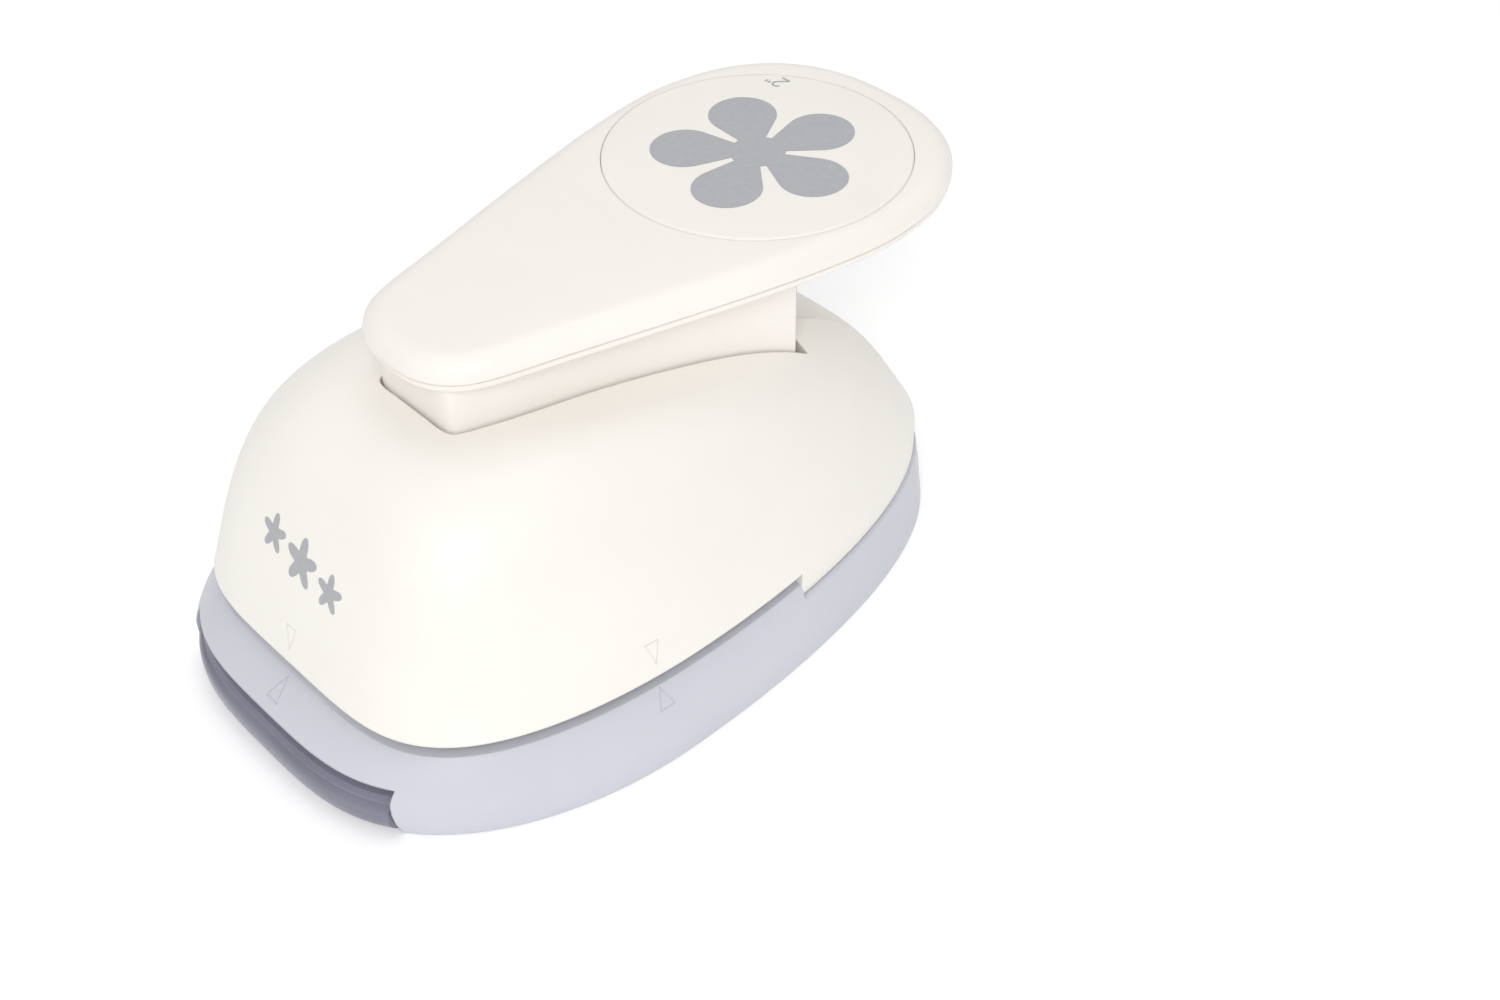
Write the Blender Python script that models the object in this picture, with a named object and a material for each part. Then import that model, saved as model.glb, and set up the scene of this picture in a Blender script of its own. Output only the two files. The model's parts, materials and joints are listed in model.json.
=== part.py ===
"""Lever-action craft punch, modelled as separate pieces in metres with +Z up.

The punch stands on z = 0. The paper slot and the narrow, pivoted end of the lever face -Y, the wide palm
end of the lever is at +Y, and the object is symmetric about the plane x = 0. The origin lies on the ground
in the middle of the whole object.
"""

import math

import bmesh
import bpy
from mathutils import Matrix, Vector
from mathutils.geometry import intersect_line_line_2d

MM = 0.001
GAP = 0.3 * MM                     # running gap between neighbouring pieces
FAR = 90 * MM                      # beyond the whole object, for the ends of cutters

# Base outline: an egg made of two superellipse halves that meet at the widest section
BASE_HALF_WIDTH = 48.0 * MM
BASE_WIDEST_Y = -20.1 * MM
BASE_FRONT_LENGTH = 54.3 * MM
BASE_REAR_LENGTH = 85.9 * MM
BASE_FRONT_POWER = 0.72            # at the foot; the wall swells to a squarer front above it
BASE_SWELL_POWER = 0.62
BASE_REAR_POWER = 0.60

# Cover outline at its lower edge
COVER_HALF_WIDTH = 45.0 * MM
COVER_WIDEST_Y = -15.4 * MM
COVER_FRONT_LENGTH = 51.4 * MM
COVER_REAR_LENGTH = 80.0 * MM
COVER_FRONT_POWER = 0.45
COVER_REAR_POWER = 0.62

DECK_TOP = 15.3 * MM               # paper ledge, level with the die
REAR_SEAT = 12.7 * MM              # where the cover rests on the base behind the slot
SLOT_TOP = 18.0 * MM               # underside of the cover round the slot
SLOT_STOP_Y = 10.2 * MM            # the slot ends here at both sides
WALL = 2.4 * MM
CAVITY_TOP = 10.0 * MM
CAVITY_REAR_Y = 54.0 * MM

# Cover dome
DOME_RISE = 35.5 * MM
DOME_CENTRE_Y = -14.3 * MM
DOME_SLOPE = -0.083
DOME_FLATNESS = 6.0
DOME_SHOULDER = 1.12
COVER_WALL = 2.2 * MM
TROUGH_HALF_WIDTH = 16.0 * MM      # shallow recess behind the lever opening
TROUGH_DEPTH = 3.0 * MM
TROUGH_FLOOR = 2.4 * MM
TROUGH_FADE_Y = 44.0 * MM          # the recess gets shallower from here
TROUGH_END_Y = 56.0 * MM           # and runs out here
TROUGH_OVERLAP = 0.6 * MM          # how far the floor body stays under the dome's surface

# Lever
LEVER_HALF_OUTLINE = [(0, -40), (6.5, -39.2), (11.6, -36), (14.8, -30.5), (18.2, -18), (22.6, -2), (26.8, 14),
                      (30.1, 29), (31.6, 43), (29.2, 57), (22.3, 67.3), (12, 73), (0, 74.4)]
LEVER_RIM_Z = 64.6 * MM            # height of the lever's lower rim above the origin
LEVER_PITCH = 0.018                # rise of the rim per length towards the rear
RIM_THICKNESS = 1.3 * MM
SHELL_EDGE = [(0.0, 0.0), (0.0, 0.9), (0.35, 2.0), (1.1, 3.0), (2.2, 3.75), (3.4, 4.15)]   # depth, height
SHELL_WALL = 2.0 * MM
SKIRT_HALF_OUTLINE = [(0, -36), (4, -36), (7.6, -36), (9.6, -35.4), (10.4, -33.8), (11.1, -31), (12.4, -24.2),
                      (14.6, -8.7), (18.4, 9.6), (22.8, 28.2), (25.2, 38), (24, 46), (12, 50), (0, 50)]
SKIRT_WALL = 1.3 * MM
SKIRT_REAR_Y = 28.2 * MM
SKIRT_BOTTOM = 44.0 * MM
OPENING_CLEARANCE = 0.5 * MM
OPENING_BEHIND = 2.0 * MM
RIB_PROFILE = [(-33.4, 47.2), (-25, 46.8), (-17, 56), (24, 59), (24, 65.7), (-33.0, 64.7)]
RIB_X = (6.5 * MM, 8.0 * MM)
NOSE_HALF_WIDTH = 3.2 * MM

# Pattern
DISC_Y = 40.5 * MM
DISC_RADIUS = 27.7 * MM
DISC_SINK = 0.5 * MM               # how far the disc stands in the shell
DISC_THICKNESS = 0.7 * MM
PATTERN_SCALE = 19.2 / 25.4        # printed flower against the cut flower
FLOWER_TURN = math.radians(4.5)
PETAL_RADIUS = 8.25 * MM
PETAL_DISTANCE = 17.15 * MM
SLIT_HALF_WIDTH = 0.75 * MM
SLIT_ROOT = 6.6 * MM
PETALS = 5

# Cutting set
DIE_Y = -24.0 * MM
PLATE_HALF = 31.0 * MM
DIE_THICKNESS = 2.6 * MM
GUIDE_THICKNESS = 2.5 * MM
GUIDE_REAR_Y = 24.0 * MM
PUNCH_BOTTOM = 18.4 * MM
HEAD_BOTTOM = 33.3 * MM
HEAD_TOP = 36.0 * MM
HEAD_HALF = 27.5 * MM
DIE_CLEARANCE = 0.35 * MM
POST_X = 23.5 * MM
POST_OFFSET_Y = 23.5 * MM
POST_RADIUS = 2.0 * MM
SPRING_RADIUS = 3.2 * MM
SPRING_WIRE = 0.45 * MM
SPRING_TURNS = 4.5

# Lever bearing and frame
PIVOT_Y = -29.0 * MM
PIVOT_Z = 51.0 * MM
PIN_RADIUS = 2.0 * MM
PRESS_Y = -5.0 * MM
PRESS_RADIUS = 4.0 * MM
ARM_X = 5.3 * MM                   # middle of each frame arm
ARM_THICKNESS = 1.6 * MM
ARM_PROFILE = [(46, 14.7), (46, 26), (38, 38), (20, 44.5), (-21, 46.5), (-25, 55), (-33, 55), (-33, 46),
               (-27, 40.5), (10, 38.5), (24, 34), (29, 24), (29, 14.7)]
FOOT_SIZE = (25 * MM, 21 * MM, 2.0 * MM)
FOOT_Y = 38.5 * MM

# Chip tray and its hinge
RECESS_HALF_WIDTH = 29.3 * MM
RECESS_TOP = 10.4 * MM
TRAY_END_GAP = 0.6 * MM
TRAY_SIDE_GAP = 3.2 * MM
TRAY_BOTTOM = 0.4 * MM
TRAY_TOP = 9.6 * MM
TRAY_REAR_Y = 42.0 * MM
HINGE_Y = 50.5 * MM
HINGE_Z = 3.3 * MM
HINGE_PIN_RADIUS = 1.2 * MM
KNUCKLE_RADIUS = 2.5 * MM
TONGUE_THICKNESS = 3.2 * MM         # plate between the tray and its knuckle
LUG_X = 20.0 * MM
LUG_WIDTH = 3.2 * MM
LUG_FRONT = 2.6 * MM               # how far the lugs reach in front of and behind the hinge pin
LUG_REAR = 2.3 * MM

# Screws: one of each pair of cover posts, in millimetres, and the screws of plates and frame
COVER_POSTS = [(34.5, 19.0), (16.0, 57.3)]
COVER_POST_TOPS = [27.0, 20.5]
POST_OUTER = 3.1 * MM
BOSS_OUTER = 3.7 * MM
CHIP_HOLE_RADIUS = 26.6 * MM
PLATE_SCREW_X = 25.0 * MM
PLATE_SCREW_Y = 17.0 * MM
FRAME_SCREW_X = 9.3 * MM
PILOT_RADIUS = 1.5 * MM
CLEAR_RADIUS = 1.8 * MM

SEGMENTS = 52                      # points round the two big shells
ROUND = 20                         # points round small turned pieces

CREAM = (0.91, 0.89, 0.85)
GREY = (0.62, 0.64, 0.70)
SMOKE = (0.24, 0.24, 0.30)
STEEL = (0.62, 0.63, 0.65)
DARK_STEEL = (0.36, 0.37, 0.39)
PRINT_GREY = (0.47, 0.48, 0.50)


# ---------------------------------------------------------------- helpers

def clear_scene():
    for obj in list(bpy.data.objects):
        bpy.data.objects.remove(obj, do_unlink=True)


def material(name, colour, roughness, metallic=0.0, alpha=1.0):
    mat = bpy.data.materials.get(name)
    if mat:
        return mat
    mat = bpy.data.materials.new(name)
    mat.use_nodes = True
    shader = mat.node_tree.nodes["Principled BSDF"]
    shader.inputs["Base Color"].default_value = (*colour, 1.0)
    shader.inputs["Roughness"].default_value = roughness
    shader.inputs["Metallic"].default_value = metallic
    shader.inputs["Alpha"].default_value = alpha
    return mat


def finish(bm, name, mat, origin=(0, 0, 0), smooth=35):
    """Turn a bmesh in world coordinates into an object whose origin is at the given point."""
    bmesh.ops.translate(bm, vec=-Vector(origin), verts=bm.verts)
    mesh = bpy.data.meshes.new(name)
    bm.to_mesh(mesh)
    bm.free()
    obj = bpy.data.objects.new(name, mesh)
    obj.location = origin
    bpy.context.collection.objects.link(obj)
    if mat:
        mesh.materials.append(mat)
    mesh.shade_smooth()
    mesh.set_sharp_from_angle(angle=math.radians(smooth))
    return obj


def boolean(obj, bm, operation, name):
    """Add a Boolean modifier whose operand is a hidden guide object made from bm."""
    guide = finish(bm, name, None)
    guide.hide_render = True
    guide.display_type = "WIRE"
    mod = obj.modifiers.new(name, "BOOLEAN")
    mod.operation = operation
    mod.solver = "EXACT"
    mod.use_self = True
    mod.object = guide
    return obj


def egg(half_width, widest_y, front, rear, front_power, rear_power, count=SEGMENTS):
    """Closed outline, anticlockwise from the front, as a list of (x, y)."""
    points = []
    for i in range(count):
        turn = 2 * math.pi * i / count
        side, along = math.sin(turn), math.cos(turn)
        power = front_power if along > 0 else rear_power
        x = math.copysign(half_width * abs(side) ** power, side)
        points.append((x, widest_y - (front if along > 0 else rear) * along))
    return points


def base_outline(front_power=BASE_FRONT_POWER):
    return egg(BASE_HALF_WIDTH, BASE_WIDEST_Y, BASE_FRONT_LENGTH, BASE_REAR_LENGTH,
               front_power, BASE_REAR_POWER)


def cover_outline():
    return egg(COVER_HALF_WIDTH, COVER_WIDEST_Y, COVER_FRONT_LENGTH, COVER_REAR_LENGTH,
               COVER_FRONT_POWER, COVER_REAR_POWER)


def inset(outline, distance):
    """Move every point of a closed anticlockwise outline inwards along its normal."""
    result = []
    count = len(outline)
    for i, point in enumerate(outline):
        before = Vector(outline[i - 1])
        after = Vector(outline[(i + 1) % count])
        tangent = (after - before).normalized()
        result.append((point[0] - tangent.y * distance, point[1] + tangent.x * distance))
    return result


def signed_volume(faces):
    """Volume inside a closed set of faces, negative where they point inwards."""
    total = 0.0
    for face in faces:
        corners = [vert.co for vert in face.verts]
        for second, third in zip(corners[1:], corners[2:]):
            total += corners[0].dot(second.cross(third)) / 6
    return total


def cut_off(outline, y_max):
    """Keep the part of a closed outline that lies in front of y_max, with a straight rear edge."""
    kept = []
    for i, (x, y) in enumerate(outline):
        before_x, before_y = outline[i - 1]
        if (y > y_max) != (before_y > y_max):
            part = (y_max - before_y) / (y - before_y)
            kept.append((before_x + (x - before_x) * part, y_max))
        if y <= y_max:
            kept.append((x, y))
    return kept


def add_loft(bm, rings):
    """Closed solid through rings of (x, y, z) points that all have the same count."""
    loops = [[bm.verts.new(point) for point in ring] for ring in rings]
    count = len(loops[0])
    faces = []
    for lower, upper in zip(loops, loops[1:]):
        for i in range(count):
            j = (i + 1) % count
            faces.append(bm.faces.new((lower[i], lower[j], upper[j], upper[i])))
    faces.append(bm.faces.new(list(reversed(loops[0]))))
    faces.append(bm.faces.new(loops[-1]))
    if signed_volume(faces) < 0:
        bmesh.ops.reverse_faces(bm, faces=faces)


def at_height(outline, z):
    return [(x, y, z) for x, y in outline]


def prism(bm, outline, low, high):
    add_loft(bm, [at_height(outline, low), at_height(outline, high)])


def block(bm, x0, x1, y0, y1, z0, z1):
    prism(bm, [(x0, y0), (x1, y0), (x1, y1), (x0, y1)], z0, z1)


def circle(x, y, radius, count=ROUND):
    return [(x + radius * math.cos(2 * math.pi * i / count), y + radius * math.sin(2 * math.pi * i / count))
            for i in range(count)]


def turned(bm, x, y, profile, count=ROUND):
    """Solid of revolution about a vertical axis; profile is a list of (radius, z) from bottom to top."""
    add_loft(bm, [at_height(circle(x, y, r, count), z) for r, z in profile])


def turned_x(bm, y, z, profile, count=ROUND):
    """Solid of revolution about an axis along X; profile is a list of (radius, x)."""
    add_loft(bm, [[(x, *point) for point in circle(y, z, r, count)] for r, x in profile])


def bore_x(bm, y, z, pin_radius, half_length):
    """Cutter for a running hole along X, symmetric about x = 0."""
    turned_x(bm, y, z, [(pin_radius + GAP, -half_length), (pin_radius + GAP, half_length)], 16)


def side_plate(bm, profile, x0, x1):
    """Flat plate across X whose outline is a list of (y, z) in millimetres."""
    add_loft(bm, [[(x, y * MM, z * MM) for y, z in profile] for x in (x0, x1)])


def smooth_half(points, steps=3):
    """Catmull-Rom curve through half an outline, mirrored into a closed anticlockwise outline in metres."""
    mirrored = [(-points[1][0], points[1][1])] + points + [(-points[-2][0], points[-2][1])]
    half = []
    for i in range(1, len(mirrored) - 2):
        p0, p1, p2, p3 = (Vector(p) for p in mirrored[i - 1:i + 3])
        for k in range(steps):
            t = k / steps
            half.append(0.5 * (2 * p1 + (p2 - p0) * t + (2 * p0 - 5 * p1 + 4 * p2 - p3) * t ** 2
                               + (3 * p1 - p0 - 3 * p2 + p3) * t ** 3))
    half.append(Vector(points[-1]))
    right = [(p.x * MM, p.y * MM) for p in half]
    left = [(-x, y) for x, y in reversed(right[1:-1])]
    return right + left


def flower(grow=0.0, scale=1.0, arc_steps=4):
    """Five-petalled outline about the origin; grow moves the whole outline outwards."""
    radius = PETAL_RADIUS + grow
    slit = SLIT_HALF_WIDTH - grow
    root = SLIT_ROOT + grow
    half_turn = math.pi / PETALS
    # flank point at the slit's root, measured from the petal's own axis
    start = Vector((root * math.cos(half_turn) + slit * math.sin(half_turn),
                    root * math.sin(half_turn) - slit * math.cos(half_turn)))
    to_centre = Vector((PETAL_DISTANCE, 0)) - start
    reach = to_centre.length
    heading = math.atan2(to_centre.y, to_centre.x) + math.asin(radius / reach)
    tangent_length = math.sqrt(reach ** 2 - radius ** 2)
    touch = start + Vector((math.cos(heading), math.sin(heading))) * tangent_length
    first = math.atan2(touch.y, touch.x - PETAL_DISTANCE)
    petal = [Vector((start.x, -start.y))]
    for i in range(arc_steps * 2 + 1):
        angle = -first + 2 * first * i / (arc_steps * 2)
        petal.append(Vector((PETAL_DISTANCE + radius * math.cos(angle), radius * math.sin(angle))))
    petal.append(start)
    outline = []
    for k in range(PETALS):
        spin = Matrix.Rotation(FLOWER_TURN + 2 * math.pi * k / PETALS, 2)
        outline += [tuple(spin @ p * scale) for p in petal]
    return outline


def moved(outline, dx, dy):
    return [(x + dx, y + dy) for x, y in outline]


def mirrored_pairs(points):
    return [(side * x * MM, y * MM) for x, y in points for side in (1, -1)]


# ---------------------------------------------------------------- base and tray

def base_ring(z, swell, front_blend, rear_blend):
    """One level of the base wall, swollen in front and drawn in towards the cover outline."""
    ring = []
    power = BASE_FRONT_POWER + (BASE_SWELL_POWER - BASE_FRONT_POWER) * swell
    for foot, edge in zip(base_outline(power), inset(cover_outline(), 0.4 * MM)):
        rear = min(max((foot[1] - 5 * MM) / (25 * MM), 0), 1)
        blend = front_blend + (rear_blend - front_blend) * rear
        ring.append((foot[0] + (edge[0] - foot[0]) * blend, foot[1] + (edge[1] - foot[1]) * blend, z))
    return ring


def make_base():
    levels = [(0.0, 0.0, 0.015, 0.0), (0.6, 0.15, 0.0, 0.0), (3.0, 0.7, 0.0, 0.11), (5.5, 1.0, 0.0, 0.23),
              (7.8, 1.0, 0.0, 0.33), (9.4, 1.0, 0.10, 0.42), (10.9, 1.0, 0.27, 0.51), (12.4, 1.0, 0.48, 0.61),
              (13.8, 1.0, 0.72, 0.72), (14.7, 1.0, 0.88, 0.84), (15.3, 1.0, 1.0, 1.0)]
    rings = [base_ring(z * MM, swell, front, rear) for z, swell, front, rear in levels]
    cavity = [(x, min(y, CAVITY_REAR_Y)) for x, y in inset(base_outline(), WALL)]
    bm = bmesh.new()
    add_loft(bm, [at_height(inset(cavity, 0.5 * MM), CAVITY_TOP), at_height(cavity, 9 * MM),
                  at_height(cavity, 0)] + rings)
    base = finish(bm, "base_housing", material("base_plastic", GREY, 0.5))

    bm = bmesh.new()
    for x in (LUG_X, -LUG_X):
        block(bm, x - LUG_WIDTH / 2, x + LUG_WIDTH / 2, HINGE_Y - LUG_FRONT, HINGE_Y + LUG_REAR,
              1 * MM, CAVITY_TOP + 1 * MM)
    for x, y in mirrored_pairs(COVER_POSTS[:1]):
        turned(bm, x, y, [(BOSS_OUTER, 1 * MM), (BOSS_OUTER, CAVITY_TOP + 1 * MM)], 16)
    boolean(base, bm, "UNION", "base_bosses")

    bm = bmesh.new()
    block(bm, -FAR, FAR, SLOT_STOP_Y, FAR, REAR_SEAT, FAR)
    block(bm, -RECESS_HALF_WIDTH, RECESS_HALF_WIDTH, -FAR, -58 * MM, -1 * MM, RECESS_TOP)
    boolean(base, bm, "DIFFERENCE", "base_steps")

    bm = bmesh.new()
    seat = PLATE_HALF + GAP
    block(bm, -seat, seat, DIE_Y - seat, DIE_Y + seat, DECK_TOP - DIE_THICKNESS - GAP, FAR)
    boolean(base, bm, "DIFFERENCE", "die_seat")

    bm = bmesh.new()
    prism(bm, circle(0, DIE_Y, CHIP_HOLE_RADIUS, 32), 5 * MM, 14 * MM)
    for x, y in mirrored_pairs(COVER_POSTS):
        turned(bm, x, y, [(3.0 * MM, -1 * MM), (3.0 * MM, 4 * MM), (CLEAR_RADIUS, 4 * MM),
                          (CLEAR_RADIUS, 20 * MM)], 16)
    for x, y in ((PLATE_SCREW_X, PLATE_SCREW_Y), (FRAME_SCREW_X, FOOT_Y)):
        for side in (1, -1):
            turned(bm, side * x, y, [(PILOT_RADIUS, 9 * MM), (PILOT_RADIUS, 20 * MM)], 12)
    bore_x(bm, HINGE_Y, HINGE_Z, HINGE_PIN_RADIUS, 24 * MM)
    boolean(base, bm, "DIFFERENCE", "base_holes")
    return base


def front_y(outline, x):
    """Where the front half of a closed outline crosses a positive x."""
    for (x0, y0), (x1, y1) in zip(outline, outline[1:]):
        if x0 <= x < x1:
            return y0 + (y1 - y0) * (x - x0) / (x1 - x0)


def tray_outline(front_setback):
    """Inner outline of the base that steps out through the opening in the nose."""
    swollen = base_outline(BASE_SWELL_POWER)
    wide = inset(swollen, front_setback)
    narrow = inset(base_outline(), TRAY_SIDE_GAP)
    half = RECESS_HALF_WIDTH - TRAY_END_GAP
    nose = [point for point, place in zip(wide, swollen)
            if abs(place[0]) < half - 1.5 * MM and place[1] < 0]
    body = [(x, min(y, TRAY_REAR_Y)) for x, y in narrow if abs(x) > half + 0.5 * MM or y > 0]
    step = [(half, front_y(wide, half)), (half, front_y(narrow, half))]
    right = [point for point in nose if point[0] > -1e-9]
    left = [point for point in nose if point[0] <= -1e-9]
    return right + step + body + [(-x, y) for x, y in reversed(step)] + left


def make_tray():
    lip = tray_outline(3.5 * MM)
    inner = inset(lip, 1.3 * MM)
    face = [(2.2, 0.0), (0.9, 1.6), (0.0, 4.6), (1.2, 7.6)]     # depth behind the base's nose, height
    rings = [at_height(tray_outline(depth * MM), TRAY_BOTTOM + height * MM) for depth, height in face]
    bm = bmesh.new()
    add_loft(bm, rings + [at_height(lip, TRAY_TOP - 0.9 * MM), at_height(lip, TRAY_TOP),
                          at_height(inner, TRAY_TOP), at_height(inner, TRAY_BOTTOM + 1.4 * MM)])
    origin = (0, HINGE_Y, HINGE_Z)
    tray = finish(bm, "chip_tray", material("smoky_plastic", SMOKE, 0.15, alpha=0.55), origin)
    bm = bmesh.new()
    knuckle = LUG_X - LUG_WIDTH / 2 - 0.5 * MM
    block(bm, -knuckle + 1 * MM, knuckle - 1 * MM, TRAY_REAR_Y - 0.8 * MM, HINGE_Y,
          HINGE_Z - TONGUE_THICKNESS / 2, HINGE_Z + TONGUE_THICKNESS / 2)
    boolean(tray, bm, "UNION", "tray_tongue")
    bm = bmesh.new()
    turned_x(bm, HINGE_Y, HINGE_Z, [(KNUCKLE_RADIUS, -knuckle), (KNUCKLE_RADIUS, knuckle)], 16)
    boolean(tray, bm, "UNION", "tray_knuckle")
    bm = bmesh.new()
    bore_x(bm, HINGE_Y, HINGE_Z, HINGE_PIN_RADIUS, 30 * MM)
    for x, y in mirrored_pairs(COVER_POSTS[:1]):
        reach = BOSS_OUTER + 0.9 * MM
        block(bm, x - reach, x + reach, y - 5 * MM, y + 5 * MM, -5 * MM, 20 * MM)
    boolean(tray, bm, "DIFFERENCE", "tray_cuts")
    return tray


def make_tray_pin():
    bm = bmesh.new()
    reach = LUG_X + LUG_WIDTH / 2 - GAP
    turned_x(bm, HINGE_Y, HINGE_Z, [(HINGE_PIN_RADIUS, -reach), (HINGE_PIN_RADIUS, reach)], 16)
    return finish(bm, "tray_hinge_pin", material("steel", STEEL, 0.3, 1.0), (0, HINGE_Y, HINGE_Z))


# ---------------------------------------------------------------- cover

def dome_point(edge, reach, drop=0.0):
    """Point on the dome, where reach runs from 0 at the crown to 1 at the lower edge."""
    y = DOME_CENTRE_Y + (edge[1] - DOME_CENTRE_Y) * reach
    rise = DOME_RISE + DOME_SLOPE * (y - DOME_CENTRE_Y)
    height = rise * max(1 - reach ** DOME_FLATNESS, 0) ** DOME_SHOULDER
    return (edge[0] * reach, y, SLOT_TOP + height - drop)


def dome_rings(outline, drop, reaches):
    return [[dome_point(edge, reach, drop) for edge in outline] for reach in reaches]


def dome_height(x, y):
    """Height of the dome above any point inside the cover outline."""
    centre = Vector((0, DOME_CENTRE_Y))
    target = Vector((x, y)) - centre
    outline = cover_outline()
    far = centre + target.normalized() * 200 * MM
    for i, point in enumerate(outline):
        hit = intersect_line_line_2d(centre, far, outline[i - 1], point)
        if hit:
            return dome_point(tuple(hit), target.length / (hit - centre).length)[2]
    return SLOT_TOP


def trough_depth(y):
    return TROUGH_DEPTH * (1 - max(0, (y - TROUGH_FADE_Y) / (TROUGH_END_Y - TROUGH_FADE_Y)) ** 2)


def add_draped_slab(bm, half_width, y0, y1, low, high):
    """Closed body that follows the dome between two offsets, each a function of y."""
    columns, rows = 8, 12
    rings = []
    for j in range(rows + 1):
        y = y0 + (y1 - y0) * j / rows
        across = [half_width * (2 * i / columns - 1) for i in range(columns + 1)]
        ring = [(x, y, dome_height(x, y) + low(y)) for x in across]
        ring += [(x, y, dome_height(x, y) + high(y)) for x in reversed(across)]
        rings.append(ring)
    add_loft(bm, rings)


def make_cover():
    outer = cover_outline()
    inner = inset(outer, COVER_WALL)
    reaches = [1.0, 0.985, 0.96, 0.925, 0.88, 0.82, 0.74, 0.63, 0.48, 0.25]
    bm = bmesh.new()
    down = dome_rings(inner, COVER_WALL, [0.25, 0.55, 0.74, 0.86, 0.94, 1.0])
    up = dome_rings(outer, 0.0, reaches)
    seat = REAR_SEAT + GAP
    add_loft(bm, down + [at_height(inner, seat), at_height(outer, seat)] + up)
    cover = finish(bm, "top_cover", material("cream_plastic", CREAM, 0.42))

    bm = bmesh.new()
    web = 0.8 * MM
    for place, top in zip(COVER_POSTS, COVER_POST_TOPS):
        for x, y in mirrored_pairs([place]):
            turned(bm, x, y, [(POST_OUTER, seat), (POST_OUTER, top * MM)], 16)
    for x, y in mirrored_pairs(COVER_POSTS[:1]):
        near, far = sorted((x, x + math.copysign(5 * MM, x)))
        block(bm, near, far, y - web, y + web, 20 * MM, 24.5 * MM)
    for x, y in mirrored_pairs(COVER_POSTS[1:]):
        block(bm, x - web, x + web, y, y + 4.6 * MM, 14 * MM, 20 * MM)
    boolean(cover, bm, "UNION", "cover_posts")

    bm = bmesh.new()
    start, end = SKIRT_REAR_Y, TROUGH_END_Y + 2 * MM
    add_draped_slab(bm, TROUGH_HALF_WIDTH + 2 * MM, start, end,
                    lambda y: -max(trough_depth(y), 0) - TROUGH_FLOOR, lambda y: -TROUGH_OVERLAP)
    boolean(cover, bm, "UNION", "trough_floor")

    bm = bmesh.new()
    block(bm, -FAR, FAR, -FAR, SLOT_STOP_Y, 0, SLOT_TOP)
    for x, y in mirrored_pairs(COVER_POSTS):
        turned(bm, x, y, [(1.3 * MM, 5 * MM), (1.3 * MM, 19.4 * MM)], 12)
    boolean(cover, bm, "DIFFERENCE", "cover_slot")

    bm = bmesh.new()
    opening = cut_off(inset(skirt_outline(), -OPENING_CLEARANCE), SKIRT_REAR_Y + OPENING_BEHIND)
    prism(bm, opening, 25 * MM, FAR)
    boolean(cover, bm, "DIFFERENCE", "lever_opening")

    bm = bmesh.new()
    add_draped_slab(bm, TROUGH_HALF_WIDTH, start - 1 * MM, end, lambda y: -trough_depth(y), lambda y: 8 * MM)
    return boolean(cover, bm, "DIFFERENCE", "trough")


# ---------------------------------------------------------------- lever

def lever_outline():
    return smooth_half(LEVER_HALF_OUTLINE)


def skirt_outline():
    return smooth_half(SKIRT_HALF_OUTLINE)


def on_lever(outline, height):
    """Points at a height above the lever's tilted rim plane."""
    return [(x, y, LEVER_RIM_Z + LEVER_PITCH * y + height) for x, y in outline]


def make_lever_top():
    outline = lever_outline()
    parting = RIM_THICKNESS + GAP
    wall = inset(outline, SHELL_WALL)
    rings = [on_lever(inset(wall, 1.2 * MM), parting + SHELL_WALL), on_lever(wall, parting)]
    for depth, height in SHELL_EDGE:
        rings.append(on_lever(inset(outline, depth * MM), parting + height * MM))
    bm = bmesh.new()
    add_loft(bm, rings)
    lever = finish(bm, "lever_top_shell", material("cream_plastic", CREAM, 0.42), (0, PIVOT_Y, PIVOT_Z))
    bm = bmesh.new()
    turned(bm, 0, DISC_Y, [(DISC_RADIUS + GAP, 0), (DISC_RADIUS + GAP, 20 * MM)], 48)
    tilt_about_disc(bm, -DISC_SINK - GAP)
    boolean(lever, bm, "DIFFERENCE", "disc_recess")
    return lever


def tilt_about_disc(bm, height):
    """Lay upright geometry that starts at z = 0 at a height above the shell's tilted flat top."""
    top = LEVER_RIM_Z + LEVER_PITCH * DISC_Y + RIM_THICKNESS + GAP + SHELL_EDGE[-1][1] * MM
    tilt = Matrix.Rotation(math.atan(LEVER_PITCH), 4, "X")
    centre = Vector((0, DISC_Y, 0))
    place = Matrix.Translation(centre + Vector((0, 0, top + height))) @ tilt @ Matrix.Translation(-centre)
    bmesh.ops.transform(bm, matrix=place, verts=bm.verts)


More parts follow.
